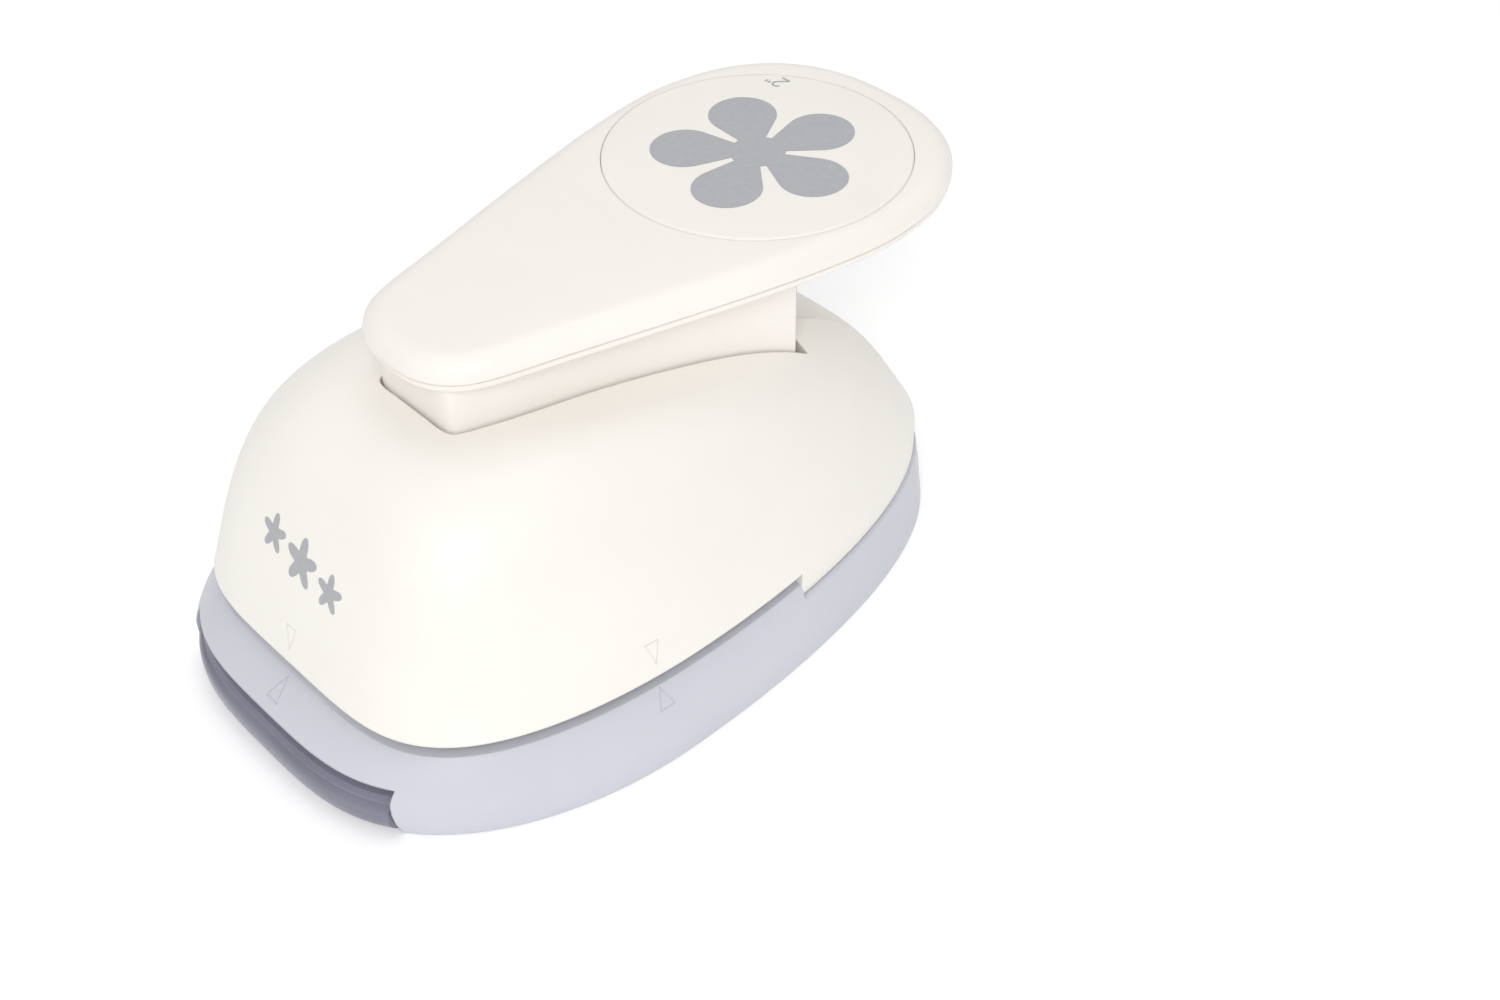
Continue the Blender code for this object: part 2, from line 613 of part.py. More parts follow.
def make_lever_bottom():
    outline = inset(lever_outline(), 0.45 * MM)
    bm = bmesh.new()
    add_loft(bm, [on_lever(inset(outline, 0.3 * MM), 0), on_lever(outline, 0.3 * MM),
                  on_lever(outline, RIM_THICKNESS)])
    lever = finish(bm, "lever_lower_shell", material("cream_plastic", CREAM, 0.42), (0, PIVOT_Y, PIVOT_Z))

    skirt = skirt_outline()
    hollow = inset(skirt, SKIRT_WALL)
    bm = bmesh.new()
    cheeks = cut_off(skirt, SKIRT_REAR_Y)
    add_loft(bm, [at_height(cheeks, SKIRT_BOTTOM), on_lever(cheeks, 0.6 * MM)])
    boolean(lever, bm, "UNION", "skirt")
    bm = bmesh.new()
    inside = cut_off(hollow, SKIRT_REAR_Y + 9 * MM)
    add_loft(bm, [at_height(inside, SKIRT_BOTTOM - 5 * MM), on_lever(inside, 0)])
    boolean(lever, bm, "DIFFERENCE", "skirt_hollow")

    bm = bmesh.new()
    for side in (1, -1):
        near, far = sorted(side * x for x in RIB_X)
        side_plate(bm, RIB_PROFILE, near, far)
    nose_z = HEAD_TOP + GAP + PRESS_RADIUS
    block(bm, -NOSE_HALF_WIDTH, NOSE_HALF_WIDTH, PRESS_Y - NOSE_HALF_WIDTH, PRESS_Y + NOSE_HALF_WIDTH,
          nose_z, LEVER_RIM_Z + 0.4 * MM)
    boolean(lever, bm, "UNION", "lever_ribs")
    bm = bmesh.new()
    turned_x(bm, PRESS_Y, nose_z, [(PRESS_RADIUS, -NOSE_HALF_WIDTH), (PRESS_RADIUS, NOSE_HALF_WIDTH)], 24)
    boolean(lever, bm, "UNION", "press_nose")
    bm = bmesh.new()
    bore_x(bm, PIVOT_Y, PIVOT_Z, PIN_RADIUS, 9 * MM)
    return boolean(lever, bm, "DIFFERENCE", "lever_bore")


def make_disc():
    bm = bmesh.new()
    turned(bm, 0, DISC_Y, [(DISC_RADIUS, 0), (DISC_RADIUS, DISC_THICKNESS - 0.2 * MM),
                           (DISC_RADIUS - 0.3 * MM, DISC_THICKNESS)], 48)
    tilt_about_disc(bm, -DISC_SINK)
    return finish(bm, "pattern_disc", material("disc_plastic", CREAM, 0.4), (0, PIVOT_Y, PIVOT_Z))


def make_flower_inlay():
    bm = bmesh.new()
    prism(bm, moved(flower(0.0, PATTERN_SCALE), 0, DISC_Y), 0, 0.25 * MM)
    tilt_about_disc(bm, DISC_THICKNESS - DISC_SINK + GAP)
    return finish(bm, "flower_inlay", material("print_grey", PRINT_GREY, 0.5), (0, PIVOT_Y, PIVOT_Z))


# ---------------------------------------------------------------- bearing and frame

def make_pivot_pin():
    bm = bmesh.new()
    turned_x(bm, PIVOT_Y, PIVOT_Z, [(PIN_RADIUS, -9.1 * MM), (PIN_RADIUS, 9.1 * MM)], 16)
    return finish(bm, "pivot_pin", material("steel", STEEL, 0.3, 1.0), (0, PIVOT_Y, PIVOT_Z))


def make_clip(side):
    name = "pivot_clip_right" if side > 0 else "pivot_clip_left"
    bm = bmesh.new()
    near, far = sorted((side * 8.3 * MM, side * 8.9 * MM))
    turned_x(bm, PIVOT_Y, PIVOT_Z, [(3.4 * MM, near), (3.4 * MM, far)], 16)
    clip = finish(bm, name, material("dark_steel", DARK_STEEL, 0.4, 1.0), (0, PIVOT_Y, PIVOT_Z))
    bm = bmesh.new()
    bore_x(bm, PIVOT_Y, PIVOT_Z, PIN_RADIUS, 12 * MM)
    return boolean(clip, bm, "DIFFERENCE", name + "_hole")


def make_frame():
    width, depth, thickness = FOOT_SIZE
    seat = REAR_SEAT + GAP
    bm = bmesh.new()
    block(bm, -width / 2, width / 2, FOOT_Y - depth / 2, FOOT_Y + depth / 2, seat, seat + thickness)
    frame = finish(bm, "steel_frame", material("steel", STEEL, 0.3, 1.0))
    bm = bmesh.new()
    for side in (1, -1):
        near, far = sorted((side * (ARM_X - ARM_THICKNESS / 2), side * (ARM_X + ARM_THICKNESS / 2)))
        side_plate(bm, ARM_PROFILE, near, far)
    boolean(frame, bm, "UNION", "frame_arms")
    bm = bmesh.new()
    block(bm, -ARM_X, ARM_X, 38.5 * MM, 45 * MM, 24 * MM, 26 * MM)
    boolean(frame, bm, "UNION", "frame_bridge")
    bm = bmesh.new()
    bore_x(bm, PIVOT_Y, PIVOT_Z, PIN_RADIUS, 10 * MM)
    for x in (-FRAME_SCREW_X, FRAME_SCREW_X):
        turned(bm, x, FOOT_Y, [(CLEAR_RADIUS, seat - 1 * MM), (CLEAR_RADIUS, seat + 4 * MM)], 12)
    boolean(frame, bm, "DIFFERENCE", "frame_holes")
    return frame


# ---------------------------------------------------------------- cutting set

def make_die():
    low = DECK_TOP - DIE_THICKNESS
    bm = bmesh.new()
    block(bm, -PLATE_HALF, PLATE_HALF, DIE_Y - PLATE_HALF, DIE_Y + PLATE_HALF, low, DECK_TOP)
    die = finish(bm, "die_plate", material("steel", STEEL, 0.3, 1.0))
    bm = bmesh.new()
    prism(bm, moved(flower(DIE_CLEARANCE), 0, DIE_Y), low - 5 * MM, DECK_TOP + 5 * MM)
    return boolean(die, bm, "DIFFERENCE", "die_flower")


def make_guide():
    bm = bmesh.new()
    high = SLOT_TOP + GUIDE_THICKNESS
    block(bm, -PLATE_HALF, PLATE_HALF, DIE_Y - PLATE_HALF, GUIDE_REAR_Y, SLOT_TOP, high)
    guide = finish(bm, "guide_plate", material("steel", STEEL, 0.3, 1.0))
    bm = bmesh.new()
    prism(bm, moved(flower(DIE_CLEARANCE), 0, DIE_Y), SLOT_TOP - 5 * MM, high + 5 * MM)
    for x, y in post_places():
        turned(bm, x, y, [(POST_RADIUS + GAP, SLOT_TOP - 5 * MM), (POST_RADIUS + GAP, high + 5 * MM)], 16)
    for x in (-PLATE_SCREW_X, PLATE_SCREW_X):
        turned(bm, x, PLATE_SCREW_Y, [(CLEAR_RADIUS, SLOT_TOP - 5 * MM), (CLEAR_RADIUS, high + 5 * MM)], 12)
    return boolean(guide, bm, "DIFFERENCE", "guide_holes")


def post_places():
    return [(sx * POST_X, DIE_Y + sy * POST_OFFSET_Y) for sy in (-1, 1) for sx in (1, -1)]


def make_spacer(side):
    name = "plate_spacer_right" if side > 0 else "plate_spacer_left"
    x = side * PLATE_SCREW_X
    bm = bmesh.new()
    block(bm, x - 4.5 * MM, x + 4.5 * MM, SLOT_STOP_Y + 1 * MM, GUIDE_REAR_Y - 0.5 * MM,
          REAR_SEAT + GAP, SLOT_TOP - GAP)
    spacer = finish(bm, name, material("steel", STEEL, 0.3, 1.0))
    bm = bmesh.new()
    turned(bm, x, PLATE_SCREW_Y, [(CLEAR_RADIUS, 5 * MM), (CLEAR_RADIUS, 25 * MM)], 12)
    return boolean(spacer, bm, "DIFFERENCE", name + "_hole")


def make_punch():
    bm = bmesh.new()
    prism(bm, moved(flower(), 0, DIE_Y), PUNCH_BOTTOM, HEAD_BOTTOM - GAP)
    return finish(bm, "flower_punch", material("dark_steel", DARK_STEEL, 0.4, 1.0), (0, DIE_Y, PUNCH_BOTTOM))


def make_head():
    bm = bmesh.new()
    block(bm, -HEAD_HALF, HEAD_HALF, DIE_Y - HEAD_HALF, DIE_Y + HEAD_HALF, HEAD_BOTTOM, HEAD_TOP)
    head = finish(bm, "punch_head", material("steel", STEEL, 0.3, 1.0), (0, DIE_Y, PUNCH_BOTTOM))
    bm = bmesh.new()
    for x, y in post_places():
        turned(bm, x, y, [(POST_RADIUS + GAP, 30 * MM), (POST_RADIUS + GAP, 40 * MM)], 16)
    return boolean(head, bm, "DIFFERENCE", "head_holes")


def make_post(index, x, y):
    collar = SLOT_TOP + GUIDE_THICKNESS + GAP
    bm = bmesh.new()
    flange = POST_RADIUS + 0.5 * MM
    turned(bm, x, y, [(POST_RADIUS, SLOT_TOP + 0.1 * MM), (POST_RADIUS, collar), (flange, collar),
                      (flange, collar + 0.8 * MM), (POST_RADIUS, collar + 0.8 * MM),
                      (POST_RADIUS, HEAD_TOP + 1.4 * MM), (POST_RADIUS - 0.5 * MM, HEAD_TOP + 2 * MM)], 12)
    return finish(bm, f"guide_post_{index}", material("steel", STEEL, 0.3, 1.0))


def make_spring(index, x, y):
    """Compression spring with a round wire, between the guide plate and the punch head."""
    low = SLOT_TOP + GUIDE_THICKNESS + GAP + SPRING_WIRE
    high = HEAD_BOTTOM - GAP - SPRING_WIRE
    steps = int(SPRING_TURNS * 8)
    sides = 4
    rings = []
    for i in range(steps + 1):
        turn = 2 * math.pi * SPRING_TURNS * i / steps
        out = Vector((math.cos(turn), math.sin(turn), 0))
        centre = Vector((x, y, low + (high - low) * i / steps)) + out * SPRING_RADIUS
        ring = []
        for k in range(sides):
            angle = 2 * math.pi * k / sides
            up = Vector((0, 0, math.sin(angle)))
            ring.append(centre + (out * math.cos(angle) + up) * SPRING_WIRE)
        rings.append(ring)
    bm = bmesh.new()
    add_loft(bm, rings)
    return finish(bm, f"return_spring_{index}", material("spring_steel", STEEL, 0.25, 1.0), (x, y, low))


# ---------------------------------------------------------------- screws

def make_screw(name, x, y, profile):
    bm = bmesh.new()
    turned(bm, x, y, [(r * MM, z * MM) for r, z in profile], 16)
    return finish(bm, name, material("dark_steel", DARK_STEEL, 0.4, 1.0))


def make_pan_screws(name, x, y, seat):
    """A pair of short screws whose heads rest at the given height."""
    low = seat / MM + 0.3
    profile = [(1.2, 10.4), (1.2, low), (2.5, low), (2.5, low + 1.0), (1.7, low + 1.5)]
    make_screw(name + "_1", x, y, profile)
    make_screw(name + "_2", -x, y, profile)


def make_screws():
    for index, (x, y) in enumerate(mirrored_pairs(COVER_POSTS), start=1):
        make_screw(f"housing_screw_{index}", x, y,
                   [(2.6, 1.6), (2.6, 3.7), (1.0, 3.7), (1.0, 18.3), (0.5, 19.0)])
    make_pan_screws("plate_screw", PLATE_SCREW_X, PLATE_SCREW_Y, SLOT_TOP + GUIDE_THICKNESS)
    make_pan_screws("frame_screw", FRAME_SCREW_X, FOOT_Y, REAR_SEAT + GAP + FOOT_SIZE[2])


def main():
    clear_scene()
    make_base()
    make_tray()
    make_tray_pin()
    make_cover()
    make_lever_top()
    make_lever_bottom()
    make_disc()
    make_flower_inlay()
    make_pivot_pin()
    make_clip(1)
    make_clip(-1)
    make_frame()
    make_die()
    make_guide()
    make_spacer(1)
    make_spacer(-1)
    make_punch()
    make_head()
    for index, (x, y) in enumerate(post_places(), start=1):
        make_post(index, x, y)
        make_spring(index, x, y)
    make_screws()


main()
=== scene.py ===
import json
import math

import bmesh
import bpy
from mathutils import Matrix, Vector
from mathutils.bvhtree import BVHTree
from mathutils.geometry import intersect_line_line_2d


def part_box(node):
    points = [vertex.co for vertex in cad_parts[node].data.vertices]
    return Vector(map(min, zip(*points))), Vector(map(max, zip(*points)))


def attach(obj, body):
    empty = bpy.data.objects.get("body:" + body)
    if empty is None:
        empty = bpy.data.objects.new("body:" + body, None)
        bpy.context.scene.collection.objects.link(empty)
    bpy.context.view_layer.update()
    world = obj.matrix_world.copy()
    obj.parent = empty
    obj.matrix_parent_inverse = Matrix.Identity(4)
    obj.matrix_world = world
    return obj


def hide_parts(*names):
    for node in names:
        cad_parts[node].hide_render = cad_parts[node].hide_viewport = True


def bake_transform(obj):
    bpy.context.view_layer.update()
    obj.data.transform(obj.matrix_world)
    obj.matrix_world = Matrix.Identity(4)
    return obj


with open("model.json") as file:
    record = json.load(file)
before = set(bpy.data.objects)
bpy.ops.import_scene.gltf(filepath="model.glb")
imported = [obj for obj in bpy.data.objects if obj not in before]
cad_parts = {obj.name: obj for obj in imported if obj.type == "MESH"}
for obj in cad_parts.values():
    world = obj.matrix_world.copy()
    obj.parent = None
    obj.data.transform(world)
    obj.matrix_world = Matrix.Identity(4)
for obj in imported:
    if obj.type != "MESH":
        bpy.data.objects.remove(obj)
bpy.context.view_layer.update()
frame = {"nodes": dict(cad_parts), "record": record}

# Craft punch on a pale floor. Metres, +Z up, paper slot towards -Y, palm end of the lever towards +Y.
MM = 0.001
GAP = 0.3 * MM

# ---------------------------------------------------------------- sizes read from the frame
BASE_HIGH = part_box("base_housing")[1]
COVER_LOW, COVER_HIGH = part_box("top_cover")
TRAY_LOW, TRAY_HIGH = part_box("chip_tray")
DIE_LOW, DIE_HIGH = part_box("die_plate")
GUIDE_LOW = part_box("guide_plate")[0]
DISC_LOW, DISC_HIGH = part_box("pattern_disc")
HEAD_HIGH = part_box("punch_head")[1]
JOINTS = {joint["name"]: joint for joint in frame["record"]["behaviour"]["joints"]}
PIVOT = Vector(JOINTS["lever_press"]["pos_m"])
TRAY_HINGE = Vector(JOINTS["tray_hinge"]["pos_m"])
DIE_Y = (DIE_LOW.y + DIE_HIGH.y) / 2
SLOT_TOP = GUIDE_LOW.z

# Outlines: half width, widest y, front length, rear length, front power, rear power
BASE_EGG = (BASE_HIGH.x, -20.1 * MM, 54.3 * MM, 85.9 * MM, 0.72, 0.60)
SWOLLEN_EGG = (BASE_HIGH.x, -20.1 * MM, 54.3 * MM, 85.9 * MM, 0.62, 0.60)
COVER_EGG = (COVER_HIGH.x, -15.4 * MM, 51.4 * MM, 80.0 * MM, 0.45, 0.62)
AROUND = 240                        # points round the two big shells

# Base
WALL = 2.4 * MM
CAVITY_TOP = 10.0 * MM
CAVITY_REAR_Y = 54.0 * MM
REAR_SEAT = COVER_LOW.z - GAP
FAR = 90 * MM                       # further out than any point of the punch
BOSS_X = 34.5 * MM                  # front pair of screw bosses
BOSS_Y = 19 * MM
BOSS_RADIUS = 3.7 * MM
SLOT_STOP_Y = 10.2 * MM
RECESS_HALF_WIDTH = 29.3 * MM
RECESS_TOP = 10.4 * MM
RECESS_REAR_Y = -58.0 * MM
CHIP_HOLE_RADIUS = 26.6 * MM        # the cut-outs fall through this into the tray
# Wall levels: height, swell, front blend, rear blend
BASE_LEVELS = [(0.0, 0.0, 0.015, 0.0), (0.6, 0.15, 0.0, 0.0), (3.0, 0.7, 0.0, 0.11), (5.5, 1.0, 0.0, 0.23),
               (7.8, 1.0, 0.0, 0.33), (9.4, 1.0, 0.1, 0.42), (10.9, 1.0, 0.27, 0.51), (12.4, 1.0, 0.48, 0.61),
               (13.8, 1.0, 0.72, 0.72), (14.7, 1.0, 0.88, 0.84), (15.3, 1.0, 1.0, 1.0)]

# Cover
COVER_WALL = 2.2 * MM
DOME_RISE = 35.5 * MM
DOME_CENTRE_Y = -14.3 * MM
DOME_SLOPE = -0.083
DOME_FLATNESS = 6.0
DOME_SHOULDER = 1.12
TROUGH_HALF_WIDTH = 16.0 * MM
TROUGH_DEPTH = 3.0 * MM
TROUGH_FLOOR = 2.4 * MM
TROUGH_FADE_Y = 44.0 * MM
TROUGH_END_Y = 56.0 * MM

# Lever
LEVER_HALF_OUTLINE = [(0, -40), (6.5, -39.2), (11.6, -36), (14.8, -30.5), (18.2, -18), (22.6, -2), (26.8, 14),
                      (30.1, 29), (31.6, 43), (29.2, 57), (22.3, 67.3), (12, 73), (0, 74.4)]
LEVER_PITCH = 0.018
LEVER_RIM_Z = 64.6 * MM
RIM_THICKNESS = 1.3 * MM
SHELL_TOP = 4.15 * MM
SHELL_ROUND = 4.2 * MM
SHELL_WALL = 2.0 * MM
SKIRT_HALF_OUTLINE = [(0, -36), (4, -36), (7.6, -36), (9.6, -35.4), (10.4, -33.8), (11.1, -31), (12.4, -24.2),
                      (14.6, -8.7), (18.4, 9.6), (22.8, 28.2), (25.2, 38), (24, 46), (12, 50), (0, 50)]
SKIRT_WALL = 1.3 * MM
SKIRT_REAR_Y = 28.2 * MM
SKIRT_BOTTOM = 44.0 * MM
RIB_PROFILE = [(-33.4, 47.2), (-25, 46.8), (-17, 56), (24, 59), (24, 65.7), (-33.0, 64.7)]     # y, z
RIB_X = (6.5, 8.0)
NOSE_HALF = 3.2 * MM                # the nose that presses on the punch head
NOSE_RADIUS = 4.0 * MM
NOSE_Y = -5 * MM
OPENING_CLEARANCE = 0.5 * MM
DISC_Y = (DISC_LOW.y + DISC_HIGH.y) / 2
DISC_RADIUS = (DISC_HIGH.x - DISC_LOW.x) / 2

# Pattern
PATTERN_SCALE = 19.2 / 25.4
FLOWER_TURN = math.radians(4.5)
PETAL_RADIUS = 8.25 * MM
PETAL_DISTANCE = 17.15 * MM
SLIT_HALF_WIDTH = 0.75 * MM
SLIT_ROOT = 6.6 * MM
PETALS = 5

# Tray
TRAY_END_GAP = 0.6 * MM
TRAY_SIDE_GAP = 3.2 * MM
TRAY_REAR_Y = 42.0 * MM
TONGUE_THICKNESS = 3.2 * MM
# Front face: depth behind the base's nose, height above the tray's bottom
TRAY_FACE = [(2.2, 0.0), (1.5, 0.35), (0.9, 0.9), (0.35, 1.6), (0.05, 2.6), (0.0, 3.6), (0.05, 4.6),
             (0.25, 5.4), (0.75, 5.9), (1.1, 6.1), (1.15, 6.8), (1.35, 7.0), (1.8, 7.6), (3.5, 8.0)]
LUG_X = 20.0 * MM
LUG_WIDTH = 3.2 * MM

# Marks
BASE_MARK_LIFT = 0.10 * MM
COVER_MARK_LIFT = 0.05 * MM
PRINT_LIFT = 0.04 * MM
BLOSSOMS = [(-8.2, 37.5, 3.3), (0.0, 36.5, 4.2), (8.2, 35.5, 3.3)]     # x, z, size

# Colours, and how bright the sky is at its edge and overhead
CREAM = (0.890, 0.862, 0.812)
CREAM_LEVER = (0.895, 0.855, 0.808)
BASE_GREY = (0.60, 0.61, 0.67)
PRINT_GREY = (0.42, 0.425, 0.445)
HORIZON_LIGHT = 0.45
ZENITH_LIGHT = 0.75
SMOKE = (0.24, 0.24, 0.31)


# ---------------------------------------------------------------- materials

def new_material(name):
    mat = bpy.data.materials.new(name)
    mat.use_nodes = True
    return mat, mat.node_tree.nodes, mat.node_tree.links, mat.node_tree.nodes["Principled BSDF"]


def noise(nodes, links, vector, scale, detail=3.0, roughness=0.55):
    node = nodes.new("ShaderNodeTexNoise")
    node.inputs["Scale"].default_value = scale
    node.inputs["Detail"].default_value = detail
    node.inputs["Roughness"].default_value = roughness
    links.new(vector, node.inputs["Vector"])
    return node.outputs["Fac"]


def remap(nodes, links, value, low, high, from_low=0.3, from_high=0.7):
    node = nodes.new("ShaderNodeMapRange")
    node.inputs["From Min"].default_value = from_low
    node.inputs["From Max"].default_value = from_high
    node.inputs["To Min"].default_value = low
    node.inputs["To Max"].default_value = high
    links.new(value, node.inputs["Value"])
    return node.outputs["Result"]


def mix_colour(nodes, links, factor, first, second):
    node = nodes.new("ShaderNodeMix")
    node.data_type = "RGBA"
    links.new(factor, node.inputs["Factor"])
    for socket, value in (("A", first), ("B", second)):
        target = [s for s in node.inputs if s.name == socket and s.type == "RGBA"][0]
        if isinstance(value, tuple):
            target.default_value = (*value, 1.0)
        else:
            links.new(value, target)
    return [s for s in node.outputs if s.type == "RGBA"][0]


def shaded(colour, factor):
    return tuple(channel * factor for channel in colour)


def rounded_bump(nodes, links, height, distance, strength, edge=0.35 * MM):
    """Bump over a normal that is rounded at the piece's own edges."""
    bevel = nodes.new("ShaderNodeBevel")
    bevel.samples = 4
    bevel.inputs["Radius"].default_value = edge
    bump = nodes.new("ShaderNodeBump")
    bump.inputs["Strength"].default_value = strength
    bump.inputs["Distance"].default_value = distance
    links.new(height, bump.inputs["Height"])
    links.new(bevel.outputs["Normal"], bump.inputs["Normal"])
    return bump.outputs["Normal"]


def moulded_plastic(name, colour, roughness, grain=2600.0, depth=0.02 * MM, glow=0.04, painted_highlight=0.04):
    """Satin injection-moulded plastic with fine spark grain, faint mottling and a painted highlight that
    lightens the colour along convex edges.
    """
    mat, nodes, links, shader = new_material(name)
    place = nodes.new("ShaderNodeTexCoord").outputs["Object"]
    mottle = noise(nodes, links, place, 38.0, 2.0)
    tint = mix_colour(nodes, links, remap(nodes, links, mottle, 0.0, 1.0), shaded(colour, 0.985),
                      shaded(colour, 1.012))
    # Painted highlight: the colour is lightened along sharp convex edges, where light would catch them.
    edge = nodes.new("ShaderNodeNewGeometry").outputs["Pointiness"]
    painted_highlight_mask = remap(nodes, links, edge, 0.0, 1.0, 0.52, 0.62)
    painted_highlight_mix = nodes.new("ShaderNodeMath")
    painted_highlight_mix.operation = "MULTIPLY"
    links.new(painted_highlight_mask, painted_highlight_mix.inputs[0])
    painted_highlight_mix.inputs[1].default_value = painted_highlight * 4
    tint = mix_colour(nodes, links, painted_highlight_mix.outputs["Value"], tint, shaded(colour, 1.0 + painted_highlight))
    links.new(tint, shader.inputs["Base Color"])
    handling = noise(nodes, links, place, 420.0, 4.0)
    links.new(remap(nodes, links, handling, roughness - 0.05, roughness + 0.06), shader.inputs["Roughness"])
    fine = noise(nodes, links, place, grain, 2.0)
    links.new(rounded_bump(nodes, links, fine, depth, 0.35), shader.inputs["Normal"])
    shader.inputs["IOR"].default_value = 1.47
    shader.inputs["Subsurface Weight"].default_value = glow
    shader.inputs["Subsurface Radius"].default_value = (1.6 * MM, 1.2 * MM, 0.9 * MM)
    shader.inputs["Subsurface Scale"].default_value = 1.0
    return mat


def smoky_plastic(name, colour):
    """Dark see-through plastic: polished, with faint flow lines."""
    mat, nodes, links, shader = new_material(name)
    place = nodes.new("ShaderNodeTexCoord").outputs["Object"]
    stretch = nodes.new("ShaderNodeMapping")
    stretch.inputs["Scale"].default_value = (30.0, 30.0, 260.0)
    links.new(place, stretch.inputs["Vector"])
    flow = noise(nodes, links, stretch.outputs["Vector"], 3.0, 3.0)
    links.new(mix_colour(nodes, links, remap(nodes, links, flow, 0.0, 1.0), shaded(colour, 0.95),
                         shaded(colour, 1.08)), shader.inputs["Base Color"])
    haze = noise(nodes, links, place, 500.0, 3.0)
    links.new(remap(nodes, links, haze, 0.12, 0.26), shader.inputs["Roughness"])
    links.new(rounded_bump(nodes, links, flow, 0.01 * MM, 0.2, 0.25 * MM), shader.inputs["Normal"])
    shader.inputs["Transmission Weight"].default_value = 0.2
    shader.inputs["IOR"].default_value = 1.5
    return mat


def steel(name, colour, roughness, lay=(1, 1, 0.06)):
    """Ground or drawn steel with the lay of its last pass and a few darker smudges."""
    mat, nodes, links, shader = new_material(name)
    place = nodes.new("ShaderNodeTexCoord").outputs["Object"]
    stretch = nodes.new("ShaderNodeMapping")
    stretch.inputs["Scale"].default_value = lay
    links.new(place, stretch.inputs["Vector"])
    scratches = noise(nodes, links, stretch.outputs["Vector"], 5200.0, 2.0)
    smudge = noise(nodes, links, place, 120.0, 4.0)
    links.new(mix_colour(nodes, links, remap(nodes, links, smudge, 0.0, 1.0), shaded(colour, 0.82),
                         shaded(colour, 1.06)), shader.inputs["Base Color"])
    links.new(remap(nodes, links, scratches, roughness - 0.08, roughness + 0.12), shader.inputs["Roughness"])
    links.new(rounded_bump(nodes, links, scratches, 0.01 * MM, 0.4, 0.2 * MM), shader.inputs["Normal"])
    shader.inputs["Metallic"].default_value = 1.0
    return mat


def printed_ink(name, colour):
    """Pad print: matt ink with a slightly uneven film."""
    mat, nodes, links, shader = new_material(name)
    place = nodes.new("ShaderNodeTexCoord").outputs["Object"]
    film = noise(nodes, links, place, 900.0, 4.0)
    links.new(mix_colour(nodes, links, remap(nodes, links, film, 0.0, 1.0), shaded(colour, 0.96),
                         shaded(colour, 1.04)), shader.inputs["Base Color"])
    links.new(remap(nodes, links, film, 0.5, 0.62), shader.inputs["Roughness"])
    links.new(rounded_bump(nodes, links, film, 0.01 * MM, 0.3, 0.1 * MM), shader.inputs["Normal"])
    return mat


def floor_material():
    mat, nodes, links, shader = new_material("pale_floor")
    place = nodes.new("ShaderNodeTexCoord").outputs["Object"]
    haze = noise(nodes, links, place, 6.0, 2.0)
    links.new(mix_colour(nodes, links, remap(nodes, links, haze, 0.0, 1.0), (0.95, 0.95, 0.95),
                         (0.97, 0.97, 0.97)), shader.inputs["Base Color"])
    shader.inputs["Roughness"].default_value = 0.9
    shader.inputs["Emission Color"].default_value = (1.0, 1.0, 1.0, 1.0)
    shader.inputs["Emission Strength"].default_value = 0.13
    shader.inputs["Specular IOR Level"].default_value = 0.1
    return mat


MATERIALS = {
    # Every moulded plastic gets a painted highlight along its convex edges; the base gets a stronger one.
    "cover": moulded_plastic("cream_cover", CREAM, 0.42),
    "lever": moulded_plastic("cream_lever", CREAM_LEVER, 0.40),
    "disc": moulded_plastic("cream_disc", CREAM_LEVER, 0.36, grain=3600.0, depth=0.01 * MM),
    "base": moulded_plastic("lavender_base", BASE_GREY, 0.40, glow=0.02, painted_highlight=0.06),
    "tray": smoky_plastic("smoky_tray", SMOKE),
    "print": printed_ink("grey_ink", PRINT_GREY),
    "steel": steel("ground_steel", (0.58, 0.59, 0.61), 0.32),
    "dark": steel("hardened_steel", (0.30, 0.31, 0.33), 0.38),
    "wire": steel("spring_wire", (0.55, 0.56, 0.58), 0.25, (1, 1, 1)),
}


# ---------------------------------------------------------------- mesh helpers

def make_object(bm, name, mat, smooth=32):
    mesh = bpy.data.meshes.new(name)
    bm.to_mesh(mesh)
    bm.free()
    mesh.shade_smooth()
    mesh.set_sharp_from_angle(angle=math.radians(smooth))
    obj = bpy.data.objects.new(name, mesh)
    bpy.context.scene.collection.objects.link(obj)
    if mat:
        mesh.materials.append(mat)
    return obj


def signed_volume(faces):
    total = 0.0
    for face in faces:
        corners = [vert.co for vert in face.verts]
        for second, third in zip(corners[1:], corners[2:]):
            total += corners[0].dot(second.cross(third)) / 6
    return total


def add_loft(bm, rings):
    """Closed solid through rings that all have the same number of points."""
    loops = [[bm.verts.new(point) for point in ring] for ring in rings]
    faces = []
    for lower, upper in zip(loops, loops[1:]):
        for i in range(len(lower)):
            j = (i + 1) % len(lower)
            faces.append(bm.faces.new((lower[i], lower[j], upper[j], upper[i])))
    faces.append(bm.faces.new(list(reversed(loops[0]))))
    faces.append(bm.faces.new(loops[-1]))
    if signed_volume(faces) < 0:
        bmesh.ops.reverse_faces(bm, faces=faces)


def loft(name, rings, mat=None, smooth=32):
    bm = bmesh.new()
    add_loft(bm, rings)
    return make_object(bm, name, mat, smooth)


def cut(obj, operation, bm):
    """Combine obj with the bodies in bm and apply the result."""
    tool = make_object(bm, obj.name + "_tool", None)
    mod = obj.modifiers.new("cut", "BOOLEAN")
    mod.operation = operation
    mod.solver = "EXACT"
    mod.use_self = True
    mod.object = tool
    apply_modifiers(obj)
    bpy.data.objects.remove(tool, do_unlink=True)
    return obj


